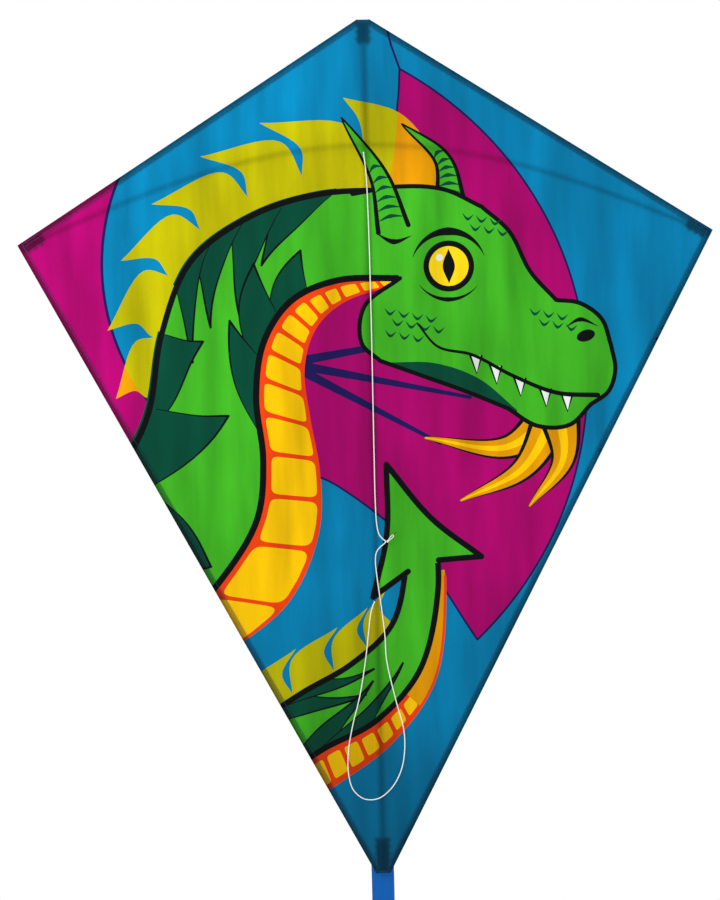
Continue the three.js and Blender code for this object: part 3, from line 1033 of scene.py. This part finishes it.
def painted_hem_and_pocket_shade(places):
    """Painted shade near the flat sail's edges, where the cloth is folded over, times the painted shade over
    the pockets.
    """
    flat = places[:, ::2]
    hem = 0.40 + 0.60 * smooth_step(from_edges(flat), 0, HEM_WIDTH * 1.1)
    return hem * painted_pocket_shade(flat)


TIP_POCKET_LENGTH = 23.5 * MM
TIP_POCKET_HALF = 6.0 * MM
TIP_INSET = 2.5 * MM


def tip_axes(side):
    """A tip pocket's closed end, the direction to its mouth, and the one across it, away from the nose."""
    lead = Vector((TIP.x - NOSE.x, 0, TIP.z - NOSE.z)).normalized()
    inward = Vector((-side * lead.x, 0, -lead.z))
    below = Vector((side * lead.z, 0, -lead.x))
    start = Vector((side * (TIP.x - 1 * MM), 0, TIP.z)) + below * 6.4 * MM + inward * TIP_INSET
    return start, inward, below


def blend_wing(made):
    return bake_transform(made)


def make_sail(art, materials):
    halves = {}
    for name, side in WINGS.items():
        flat, triangles, inks = sail_triangles(art, side)
        depths = sail_y(flat[:, 0], flat[:, 1])
        points = np.column_stack([flat[:, 0], depths, flat[:, 1]])
        order = upright(points, triangles)
        half = mesh_object("sail_" + name + "_half", points, order, uvs=flat)
        # The print with painted light and shade, and painted shade along the hems and over the pockets.
        colour_mesh(half, inks, painted_hem_and_pocket_shade)
        paint(half, materials["sail"])
        blend_wing(half)
        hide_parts("sail_" + name, *(["sail_centre"] if side < 0 else []))
        halves[name] = half
    return halves


def upright(points, triangles):
    """Triangles turned so that they all face the printed side."""
    a, b, c = (points[triangles[:, i]] for i in range(3))
    facing_back = np.cross(b - a, c - a)[:, 1] > 0
    triangles = triangles.copy()
    triangles[facing_back] = triangles[facing_back][:, ::-1]
    return triangles


# ---------------------------------------------------------------- hems and stitches

# The folded hem in section: how far in from the edge, and how far behind the middle of the cloth.
HEM_SECTION = [
    (0.10, -0.42), (-0.25, -0.28), (-0.38, 0.0), (-0.30, 0.42), (0.05, 0.66), (0.9, 0.72), (3.2, 0.66),
    (5.6, 0.72), (6.3, 0.66), (6.5, 0.42), (6.2, 0.22), (3.2, 0.20), (0.6, 0.22), (0.35, 0.05),
    (0.5, -0.3),
]


def hem_path(side, edge, spacing=1.5 * MM):
    """Points along one edge of the sail, and the unit direction from it into the cloth."""
    corners = [np.array(p) for p in half_outline(side)]
    a, b = (corners[1], corners[2]) if edge == "leading" else (corners[2], corners[3])
    count = int(np.linalg.norm(b - a) / spacing)
    along = (b - a) / np.linalg.norm(b - a)
    inward = np.array([-along[1], along[0]])
    if inward @ (np.array([0, -0.2]) - a) < 0:
        inward = -inward
    return [a + (b - a) * i / count for i in range(count + 1)], inward


def make_hem(art, name, side, edge, materials):
    path, inward = hem_path(side, edge)
    points, uvs = [], []
    for i, place in enumerate(path):
        pucker = 0.10 * MM * math.sin(i * 1.5 / 3.1 * 2 * math.pi)
        for j, (into, behind) in enumerate(HEM_SECTION):
            x, z = on_own_half(place + inward * into * MM, side)
            points.append((x, CLOTH_Y + behind * MM + (pucker if 4 <= j <= 8 else 0), z))
            uvs.append((x, z))
    hem = mesh_object(f"{name}_{edge}_hem_fold", points, skin_faces(len(path), len(HEM_SECTION)), uvs)
    outward_faces(hem)
    centres = np.array([p.center for p in hem.data.polygons])[:, ::2] / MM
    # Painted shade: the fold's print darkened to 0.42, as the doubled cloth passes less light from behind.
    colour_mesh(hem, colours_at(art, centres), lambda places: np.full(len(places), 0.42))
    paint(hem, materials["hem"])
    blend_wing(hem)
    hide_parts(f"{name}_{edge}_hem", f"{'nose' if edge == 'leading' else 'foot'}_{name}_hem")


def on_own_half(flat, side):
    """A hem point kept on its own side of the spine, and level with the nose's edge at most."""
    return side * max(side * flat[0], 0.2 * MM), min(flat[1], NOSE.z + 0.3 * MM)


THREAD_RADIUS = 0.16 * MM
STITCH_LIFT = 0.10 * MM
HEM_BACK_Y = CLOTH_Y + 0.72 * MM


def stitch(start, end, lift):
    """One stitch as a low bent strand that rises by lift from one needle hole to the next."""
    a, b = Vector(start), Vector(end)
    path = [a.lerp(b, share) for share in (0, 0.25, 0.5, 0.75, 1)]
    for p, rise in zip(path, (-0.6, 0.7, 1.0, 0.7, -0.6)):
        p.y += rise * lift
    return tube(path, THREAD_RADIUS, 6, round_ends=False)


def stitched_line(points, pitch=2.6 * MM, spare=0.5 * MM, back_y=None):
    """Stitches along a line of (x, z) points on the front of the sail, or at back_y behind it."""
    points = [np.array(p, float) for p in points]
    parts = []
    for a, b in zip(points, points[1:]):
        run = float(np.linalg.norm(b - a))
        count = max(1, int(run / pitch))
        step = (b - a) / count
        inner = step / np.linalg.norm(step) * spare / 2
        for i in range(count):
            ends = (a + step * i + inner, a + step * (i + 1) - inner)
            if back_y is None:
                places = [(x, float(sail_y(x, z)) - STITCH_LIFT, z) for x, z in ends]
                parts.append(stitch(*places, lift=-STITCH_LIFT))
            else:
                places = [(x, back_y + 0.06 * MM, z) for x, z in ends]
                parts.append(stitch(*places, lift=STITCH_LIFT))
    return parts


def stitches_object(name, parts, materials):
    made = mesh_object(name, *merged(parts))
    return paint(made, materials["thread"])


def make_hems(art, materials):
    inset = 5.2 * MM
    for name, side in WINGS.items():
        parts = []
        for edge in ("leading", "trailing"):
            make_hem(art, name, side, edge, materials)
            path, inward = hem_path(side, edge)
            line = [path[2] + inward * inset, path[-3] + inward * inset]
            parts += stitched_line(line) + stitched_line(line, back_y=HEM_BACK_Y)
        seam = stitches_object(f"{name}_hem_stitches", parts, materials)
        blend_wing(seam)


# ---------------------------------------------------------------- rod pockets


def pocket_shell(length, half_width, depth):
    """A cloth pocket as a thin bulged shell: local X across, Y deep from the sail, Z from the closed end."""
    around, lengthwise = 20, 16
    points = []
    for shrink in (0.0, 0.45 * MM):
        for i in range(lengthwise + 1):
            t = i / lengthwise
            full = smooth_step(t, -0.02, 0.22) * 0.55 + 0.45
            flare = 1 + 0.05 * smooth_step(t, 0.75, 1.0)
            for j in range(around + 1):
                angle = math.pi * j / around
                x = math.cos(angle) * (half_width - shrink) * (0.93 + 0.07 * full) * flare
                y = math.sin(angle) ** 0.8 * (depth - shrink) * full
                y += 0.12 * MM * math.sin(t * 19 + j * 0.9) * math.sin(angle)
                points.append((x, y, max(length * t, 1.5 * shrink)))
    wide = around + 1
    back = (lengthwise + 1) * wide
    faces = grid_faces(lengthwise + 1, wide, round_columns=False)
    faces += grid_faces(lengthwise + 1, wide, round_columns=False, start=back)
    rim = [(i * wide + j, wide) for i in range(lengthwise) for j in (0, around)]
    rim += [(i * wide + j, 1) for i in (0, lengthwise) for j in range(around)]
    faces += [(a, a + step, back + a + step, back + a) for a, step in rim]
    faces += [(j, j + 1, len(points)) for j in range(around)]
    points.append((0, 0.1 * MM, 0))
    return points, faces, [(p[0] + p[1], p[2]) for p in points]


RIM_WIDTH = 1.3 * MM
RIM_THICKNESS = 0.35 * MM
POCKET_PITCH = 2.2 * MM


def seam_flange(length, half_width):
    """The flat rim of a pocket where it is sewn to the sail, on both sides and round the closed end."""
    outer, foot, hem = half_width + RIM_WIDTH, -RIM_WIDTH * 0.6, 0.4 * MM
    outline = [(outer, length), (outer, foot), (-outer, foot), (-outer, length)]
    outline += [(-half_width, length), (-half_width, hem), (half_width, hem), (half_width, length)]
    points = [(x, y, z) for y in (0.02 * MM, RIM_THICKNESS) for x, z in outline]
    n = len(outline)
    faces = [(i, (i + 1) % n, n + (i + 1) % n, n + i) for i in range(n)]
    strips = [(0, 1, 6, 7), (1, 2, 5, 6), (2, 3, 4, 5)]
    faces += strips + [tuple(n + i for i in reversed(s)) for s in strips]
    return points, faces, [(p[0], p[2]) for p in points]


def place_part(part, origin, along, across):
    """A part in local X, Y, Z moved so that Z runs along and X across."""
    along, across = Vector(along).normalized(), Vector(across).normalized()
    origin = Vector(origin)
    points, faces, uvs = part
    moved = [origin + across * p[0] + Vector((0, p[1], 0)) + along * p[2] for p in points]
    return moved, faces, uvs


def make_pocket(node, origin, along, across, length, half_width, seam, materials, body):
    """A sewn pocket, with stitches at seam from its middle line and over its closed end, front and back."""
    depth = high(node).y - origin[1]
    shell = place_part(pocket_shell(length, half_width, depth), origin, along, across)
    rim = place_part(seam_flange(length, half_width), origin, along, across)
    pocket = mesh_object(node + "_cloth", *merged([shell, rim]))
    outward_faces(pocket)
    stand_in(pocket, materials["pocket"], body, node)
    foot = 0.8 * MM
    start, along, across = (Vector(v) for v in (origin, along, across))
    corners = ((-seam, length), (-seam, foot), (seam, foot), (seam, length))
    line = [(start + across * u + along * v).xz for u, v in corners]
    back = stitched_line(line, POCKET_PITCH, back_y=start.y + RIM_THICKNESS)
    parts = stitched_line(line, POCKET_PITCH) + back
    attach(stitches_object(node + "_stitches", parts, materials), body)


def make_pockets(materials):
    back = CLOTH_Y + 0.5 * MM
    for node, start, up in (("nose_pocket", NOSE.z - 2 * MM, -1), ("tail_pocket", FOOT.z + 1.5 * MM, 1)):
        length = high(node).z - low(node).z
        half = high(node).x - 1.5 * MM
        place = ((0, back, start), (0, 0, up), (1, 0, 0))
        make_pocket(node, *place, length, half, half + 0.6 * MM, materials, "frame")
    for name, side in WINGS.items():
        start, inward, below = tip_axes(side)
        place = ((start.x, back, start.z), inward, below)
        half = TIP_POCKET_HALF - RIM_WIDTH
        make_pocket(
            name + "_tip_pocket", *place, TIP_POCKET_LENGTH, half, half + 0.5 * MM, materials, name + "_wing"
        )


# ---------------------------------------------------------------- rods, caps and fitting


def spar_point(x):
    """The spar's centre line, bowed by the sail."""
    drop = SPAR_DROP * (1 - math.cos(math.pi * x / (2 * SPAR_QUARTER_WAVE)))
    lean = (SPAR_TIP_Y - SPAR_Y) * (1 - math.cos(math.pi * x / SPAR_QUARTER_WAVE)) / 2
    return Vector((x, SPAR_Y + lean, -drop))


def turned(profile, place, along, sides=28):
    """A round part from (radius, height) points, its height running along a direction from place."""
    along = Vector(along).normalized()
    side = along.orthogonal().normalized()
    other = along.cross(side)
    points, uvs = [], []
    run = 0.0
    for i, (radius, height) in enumerate(profile):
        if i:
            run += math.dist(profile[i - 1], (radius, height))
        for s, angle in enumerate(round_angles(sides)):
            spoke = side * math.cos(angle) + other * math.sin(angle)
            points.append(Vector(place) + along * height + spoke * radius)
            uvs.append((round_uv(s, sides, max(radius, 0.5 * MM)), run))
    return points, skin_faces(len(profile), sides), uvs


def cap_profile(rod_radius):
    """A soft end cap: a rolled lip at the mouth, two grip rings and a rounded closed end."""
    bore, wall = rod_radius + 0.08 * MM, rod_radius + 1.3 * MM
    waist, top, corner_radius = wall - 0.3 * MM, 12 * MM, 1.0 * MM
    outline = [(bore, 1.5 * MM), (bore, 0.3 * MM), (bore + 0.3 * MM, 0), (wall - 0.25 * MM, 0)]
    outline += [(wall, 0.35 * MM), (wall, 1.4 * MM), (waist, 1.8 * MM)]
    for z in (4.2 * MM, 6.6 * MM):
        outline += [(waist, z - 0.6 * MM), (wall - 0.05 * MM, z), (waist, z + 0.6 * MM)]
    for i in range(7):
        angle = math.pi / 2 * i / 6
        reach = (math.cos(angle) * corner_radius, math.sin(angle) * corner_radius)
        outline.append((waist - corner_radius + reach[0], top - corner_radius + reach[1]))
    return [*outline, (0.2 * MM, top)]


def make_cap(node, rod_radius, mouth, along, materials, body):
    made = mesh_object(node + "_moulded", *turned(cap_profile(rod_radius), mouth, along))
    outward_faces(made)
    stand_in(made, materials["cap"], body, node)


def make_rods(materials):
    path = [(0, SPINE_Y, z) for z in np.linspace(low("spine_rod").z, high("spine_rod").z, 60)]
    stand_in(tube_object("spine", path, SPINE_RADIUS, 28), materials["rod"], "frame", "spine_rod")
    for node, mouth, up in (("spine_top_cap", low, 1), ("spine_foot_cap", high, -1)):
        make_cap(node, SPINE_RADIUS, (0, SPINE_Y, mouth(node).z), (0, 0, up), materials, "frame")
    for name, side in WINGS.items():
        xs = [side * x for x in np.linspace(0.0002, SPAR_END_X, 130)]
        path = [spar_point(x) for x in xs]
        spar = paint(tube_object(name + "_spar", path, SPAR_RADIUS, 24), materials["rod"])
        blend_wing(spar)
        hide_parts("spar_" + name, *(["spar_centre"] if side < 0 else []))
        outward = (path[-1] - path[-2]).normalized()
        mouth = path[-1] - outward * 9.7 * MM
        make_cap(f"spar_{name}_cap", SPAR_RADIUS, mouth, outward, materials, name + "_wing")


def ring_tube(place, along, outer, inner, length):
    """A short round sleeve with softly rounded ends."""
    sides = 32
    soft = 0.35 * MM
    half = length / 2
    profile = [(inner, -half + soft), (inner + soft, -half), (outer - soft, -half), (outer, -half + soft)]
    profile += [(outer, half - soft), (outer - soft, half), (inner + soft, half), (inner, half - soft)]
    points, _, uvs = turned(profile, place, along, sides)
    return points, grid_faces(len(profile), sides, round_rows=True), uvs


def soft_block(lows, highs, soft):
    """A block with bevelled edges."""
    work = bmesh.new()
    bmesh.ops.create_cube(work, size=1)
    for v in work.verts:
        v.co = Vector([lows[a] + (highs[a] - lows[a]) * (v.co[a] + 0.5) for a in range(3)])
    bmesh.ops.bevel(work, geom=work.edges[:], offset=soft, segments=3, profile=0.6, affect="EDGES")
    points = [v.co.copy() for v in work.verts]
    faces = [[v.index for v in f.verts] for f in work.faces]
    work.free()
    return points, faces, [(p[0] + p[1] * 0.5, p[2] + p[1] * 0.5) for p in points]


def rounded_pad(half, front_y, back_y, soft):
    """A square pad with round corners and soft edges, and a round dimple in its back."""
    sides = 48
    rings = [(half - soft, front_y, 0.45), (half, front_y + soft, 0.45), (half, back_y - soft, 0.45)]
    rings += [(half - soft, back_y, 0.45), (half * 0.46, back_y, 1.0), (half * 0.38, back_y - soft, 1.0)]
    points = []
    for reach, y, power in rings:
        for turn in round_angles(sides):
            x, z = (squarish(v, power) * reach for v in (math.cos(turn), math.sin(turn)))
            points.append((x, y, z))
    return points, skin_faces(len(rings), sides), [(p[0], p[2]) for p in points]


SPINE_BORE = SPINE_RADIUS + 0.12 * MM
SPAR_BORE = SPAR_RADIUS + 0.12 * MM


def make_fitting(materials):
    """The moulded fitting: a sleeve with collars for each rod, a ribbed web between them and a pad behind."""
    half_wide = high("cross_fitting").x
    half_high = high("cross_fitting").z
    parts = [
        ring_tube((0, SPINE_Y, 0), (0, 0, 1), 3.15 * MM, SPINE_BORE, 2 * half_high),
        ring_tube((0, SPAR_Y, 0), (1, 0, 0), 2.65 * MM, SPAR_BORE, 2 * half_wide),
        soft_block(
            (-2.3 * MM, SPINE_Y + 2.2 * MM, -4.6 * MM), (2.3 * MM, SPAR_Y - 1.7 * MM, 4.6 * MM), 0.3 * MM
        ),
        rounded_pad(6 * MM, SPAR_Y + 1.9 * MM, 0, 0.6 * MM),
    ]
    collar = 0.75 * MM
    for end in (-1, 1):
        places = (0, SPINE_Y, end * (half_high - collar)), (end * (half_wide - collar), SPAR_Y, 0)
        parts.append(ring_tube(places[0], (0, 0, 1), 3.45 * MM, SPINE_BORE, 2 * collar))
        parts.append(ring_tube(places[1], (1, 0, 0), 3.0 * MM, SPAR_BORE, 2 * collar))
        near, far = sorted((end * 2.2 * MM, end * 6.4 * MM))
        lows, highs = (near, SPINE_Y + 1.2 * MM, -0.6 * MM), (far, SPAR_Y - 1.2 * MM, 0.6 * MM)
        parts.append(soft_block(lows, highs, 0.2 * MM))
    fitting = mesh_object("cross_fitting_moulded", *merged(parts))
    outward_faces(fitting)
    stand_in(fitting, materials["fitting"], "frame", "cross_fitting")


# ---------------------------------------------------------------- bridle

LINE_RADIUS = 0.6 * MM
# The route of the line in millimetres: out of the upper hole, down past the tow loop, round the slack bight,
# and up to the lower hole.
BRIDLE_ROUTE = [
    (-3, -11.9, -8), (-3, -14.2, -8), (-2.9, -16, -9.6), (-2.6, -16.8, -14), (-1, -16.4, -30),
    (0.6, -15.4, -95), (1, -15, -210), (0.6, -15, -330), (0.7, -15.1, -395), (1.8, -15.5, -417),
    (4.2, -16.2, -427), (8.4, -17, -432), (10.9, -17.3, -434.6), (8.6, -17, -437.2),
    (4.6, -16.4, -440.5), (0.6, -15.8, -446), (-0.8, -15.4, -455), (0.4, -15, -472), (4, -14.8, -502),
    (7.7, -14.8, -538), (9, -14.9, -566), (18.5, -15, -612), (26, -15, -643), (26.4, -15.2, -668),
    (21.6, -15.4, -690), (11, -15.6, -708), (-4, -15.7, -719), (-19, -15.6, -719), (-31, -15.4, -709),
    (-36, -15.2, -692), (-36, -15, -668), (-31, -15, -640), (-21.5, -15, -604), (-14.5, -15.2, -566),
    (-10.4, -15.8, -535), (-7.6, -16.6, -514), (-4.6, -16.9, -504), (-3, -15.6, -501.2),
    (-3, -13.8, -501), (-3, -11.9, -501),
]


def tie(made, node, materials):
    """A piece of the bridle's line in place of a CAD node."""
    return stand_in(made, materials["line"], "frame", node)


def make_bridle(materials):
    path = [Vector(p) * MM for p in smooth_curve(BRIDLE_ROUTE, 14)]
    line = tie(tube_object("bridle_cord", path, LINE_RADIUS, 10), "bridle_line", materials)
    pieces = [make_tow_knot(materials), make_tow_loop(materials), make_tow_ring(materials)]
    for name in ("upper", "lower"):
        make_bridle_knot(name + "_bridle_knot", materials)


def make_bridle_knot(node, materials):
    """Two turns of the line round the spine and a small tied lump with its cut end."""
    centre = middle(node)
    radius = SPINE_RADIUS + LINE_RADIUS + 0.05 * MM
    turns, steps = 2, 28
    path = []
    for i in range(turns * steps + 1):
        angle = math.pi + 2 * math.pi * i / steps
        rise = (i / steps - turns / 2) * 1.25 * MM
        path.append(Vector((radius * math.cos(angle), SPINE_Y + radius * math.sin(angle), centre.z + rise)))
    lump_at = Vector((-radius - 0.7 * MM, SPINE_Y - 0.4 * MM, centre.z))
    lump = [
        lump_at + Vector((0.75 * math.sin(2 * a), 0.665 * math.cos(3 * a), 1.15 * math.sin(3 * a + 0.5))) * MM
        for a in round_angles(40, closed=True)
    ]
    end = [lump_at + Vector((-0.15, 0.25, -1.0)) * i * MM for i in range(6)]
    parts = [tube(path, LINE_RADIUS * 0.92, 10), *(tube(p, LINE_RADIUS * 0.8, 10) for p in (lump, end))]
    tie(mesh_object(node + "_wraps", *merged(parts)), node, materials)


DEEP = Vector((0, 1, 0))


def tow_axes():
    """The middle of the tow knot, the unit direction from it to the ring, and the one beside that."""
    knot = middle("tow_knot")
    ahead = middle("tow_ring") - knot
    ahead.y = 0
    ahead.normalize()
    return knot, ahead, DEEP.cross(ahead).normalized()


def make_tow_knot(materials):
    """An overhand knot: one strand wound three times round the loop's foot."""
    centre, ahead, side = tow_axes()
    path = []
    for angle in round_angles(96, closed=True):
        along = 0.75 * MM * math.sin(3 * angle + 0.4)
        ring = 0.72 * MM + 0.16 * MM * math.cos(3 * angle)
        path.append(centre + ahead * along + (side * math.cos(2 * angle) + DEEP * math.sin(2 * angle)) * ring)
    return tie(tube_object("tow_knot_tied", path, 0.5 * MM, 10), "tow_knot", materials)


def make_tow_loop(materials):
    """A long narrow loop from the knot out to the ring."""
    centre, ahead, side = tow_axes()
    start, reach, wide = 1.3 * MM, 9.6 * MM, 1.5 * MM
    path = []
    for turn in round_angles(48, closed=True):
        share = (1 - math.cos(turn)) / 2
        across = wide * math.sin(turn) * (0.45 + 0.55 * share)
        path.append(centre + ahead * (start + (reach - start) * share) + side * across)
    return tie(tube_object("tow_loop_line", path, 0.42 * MM, 10), "tow_loop", materials)


def make_tow_ring(materials):
    """A small ring of bent wire, hanging edge on in the loop."""
    centre = middle("tow_ring")
    _, ahead, side = tow_axes()
    radius, wire = 1.7 * MM, 0.45 * MM
    around, thick = 48, 16
    points, uvs = [], []
    for i, angle in enumerate(round_angles(around)):
        spoke = ahead * math.cos(angle) + DEEP * math.sin(angle)
        for j, bend in enumerate(round_angles(thick)):
            points.append(centre + spoke * (radius + wire * math.cos(bend)) - side * wire * math.sin(bend))
            uvs.append((round_uv(j, thick, wire), round_uv(i, around, radius)))
    ring = mesh_object("tow_ring_wire", points, grid_faces(around, thick, round_rows=True), uvs)
    outward_faces(ring)
    return stand_in(ring, materials["ring"], "frame", "tow_ring")


# ---------------------------------------------------------------- tail

ROLL_TURNS = 27
ROLL_INNER = 5.6 * MM
ROLL_OUTER = 15.6 * MM


def tail_path():
    """The ribbon's line from its side: down behind the sail's foot, then wound up from the outside in."""
    hinge = HINGES["tail"]
    top = high("tail_tab").z
    roll = middle("tail_roll")
    straight_end = hinge.z - 22 * MM
    path = [Vector((0, hinge.y, z)) for z in np.linspace(top, straight_end, 34)]
    side_at = Vector((0, roll.y + ROLL_OUTER, roll.z))
    for i in range(1, 40):
        t = i / 40
        ease = t * t * (3 - 2 * t)
        y = hinge.y + (side_at.y - hinge.y) * ease
        path.append(Vector((0, y, straight_end + (side_at.z - straight_end) * t)))
    per_turn = 72
    for i in range(ROLL_TURNS * per_turn + 1):
        angle = 2 * math.pi * i / per_turn
        radius = ROLL_OUTER + (ROLL_INNER - ROLL_OUTER) * i / (ROLL_TURNS * per_turn)
        path.append(roll + Vector((0, math.cos(angle), -math.sin(angle))) * radius)
    return path


def make_tail(materials):
    path = tail_path()
    half_width = high("tail_ribbon").x
    across = half_width * np.linspace(-1, 1, 9)
    points, uvs = [], []
    along = 0.0
    for i, place in enumerate(path):
        if i:
            along += (place - path[i - 1]).length
        points += [(x, place.y, place.z) for x in across]
        uvs += [(x, along) for x in across]
    faces = grid_faces(len(path), len(across), round_columns=False)
    ribbon = mesh_object("tail_ribbon_length", points, faces, uvs)
    paint(ribbon, materials["ribbon"])
    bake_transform(ribbon)
    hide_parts("tail_tab", "tail_ribbon", "tail_roll")
    make_tail_stitches(materials)
    make_tail_band(materials)


def make_tail_stitches(materials):
    """A box and cross of stitches that hold the ribbon's top to the tail pocket."""
    top, foot = high("tail_tab").z - 1.2 * MM, HINGES["tail"].z + 6.5 * MM
    half = 6.5 * MM
    corners = [(-half, top), (half, top), (half, foot), (-half, foot), (-half, top), (half, foot)]
    y = high("tail_tab").y
    parts = []
    for a, b in zip(corners, corners[1:]):
        a, b = Vector((a[0], y, a[1])), Vector((b[0], y, b[1]))
        count = max(1, round((b - a).length / (2.2 * MM)))
        for i in range(count):
            p, q = a.lerp(b, (i + 0.12) / count), a.lerp(b, (i + 0.88) / count)
            parts.append(tube([p, p.lerp(q, 0.5) + Vector((0, 0.12 * MM, 0)), q], 0.17 * MM, 6))
    made = stitches_object("tail_tab_stitches", parts, materials)
    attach(made, "frame")


def make_tail_band(materials):
    """A flat springy band round the roll, open where the ribbon leaves it, with thick rounded ends."""
    roll = middle("tail_roll")
    inner = ROLL_OUTER + 0.25 * MM
    opening, closing = math.radians(7), math.radians(317)
    half = high("tail_band").x
    steps, corners = 110, 20
    points, uvs = [], []
    for i in range(steps + 1):
        angle = opening + (closing - opening) * i / steps
        to_end = min(i, steps - i) * inner * (closing - opening) / steps
        bead = 0.35 * MM * math.exp(-((to_end / (1.2 * MM)) ** 2))
        wall = 0.45 * MM + bead
        close = min(1.0, 0.35 + to_end / (0.8 * MM))
        for turn in round_angles(corners):
            x = half * close * squarish(math.cos(turn), 0.6)
            radius = inner + wall + wall * close * squarish(math.sin(turn), 0.6)
            points.append(roll + Vector((x, radius * math.cos(angle), -radius * math.sin(angle))))
            uvs.append((x, inner * angle))
    band = mesh_object("tail_keeper_band", points, skin_faces(steps + 1, corners), uvs)
    outward_faces(band)
    stand_in(band, materials["band"], "tail", "tail_band")


# ---------------------------------------------------------------- studio


def make_studio(materials):
    scene = bpy.context.scene
    scene.view_settings.view_transform = "Standard"
    world = bpy.data.worlds.new("studio")
    world.use_nodes = True
    background = world.node_tree.nodes["Background"]
    background.inputs["Color"].default_value = (1, 1, 1, 1)
    background.inputs["Strength"].default_value = 1.0
    scene.world = world
    for name, place, size, power in (
        ("key_light", (-2.0, -2.6, 1.6), 1.4, 42),
        ("fill_light", (2.2, -2.4, -0.2), 2.0, 5),
        ("back_light", (-0.8, 2.4, 1.4), 1.6, 20),
    ):
        data = bpy.data.lights.new(name, "AREA")
        data.size = size
        data.energy = power
        light = bpy.data.objects.new(name, data)
        scene.collection.objects.link(light)
        light.location = place
        light.rotation_euler = (Vector((0, 0, -0.3)) - Vector(place)).to_track_quat("-Z", "Y").to_euler()
    floor_z = low("tail_band").z - 0.45
    radius = 1.7
    rim = [(radius * math.cos(a), radius * math.sin(a)) for a in np.linspace(0, 2 * math.pi, 97)[:-1]]
    points = [(0, 0, floor_z)] + [(x, y, floor_z) for x, y in rim]
    faces = [(0, i + 1, (i + 1) % 96 + 1) for i in range(96)]
    floor = mesh_object("floor", points, faces, [(p[0], p[1]) for p in points])
    paint(floor, materials["floor"])


def main():
    make_camera()
    materials = make_materials()
    make_bridle(materials)
    art = make_print()
    halves = make_sail(art, materials)
    make_hems(art, materials)
    make_rods(materials)
    make_fitting(materials)
    make_pockets(materials)
    make_tail(materials)
    make_studio(materials)


main()
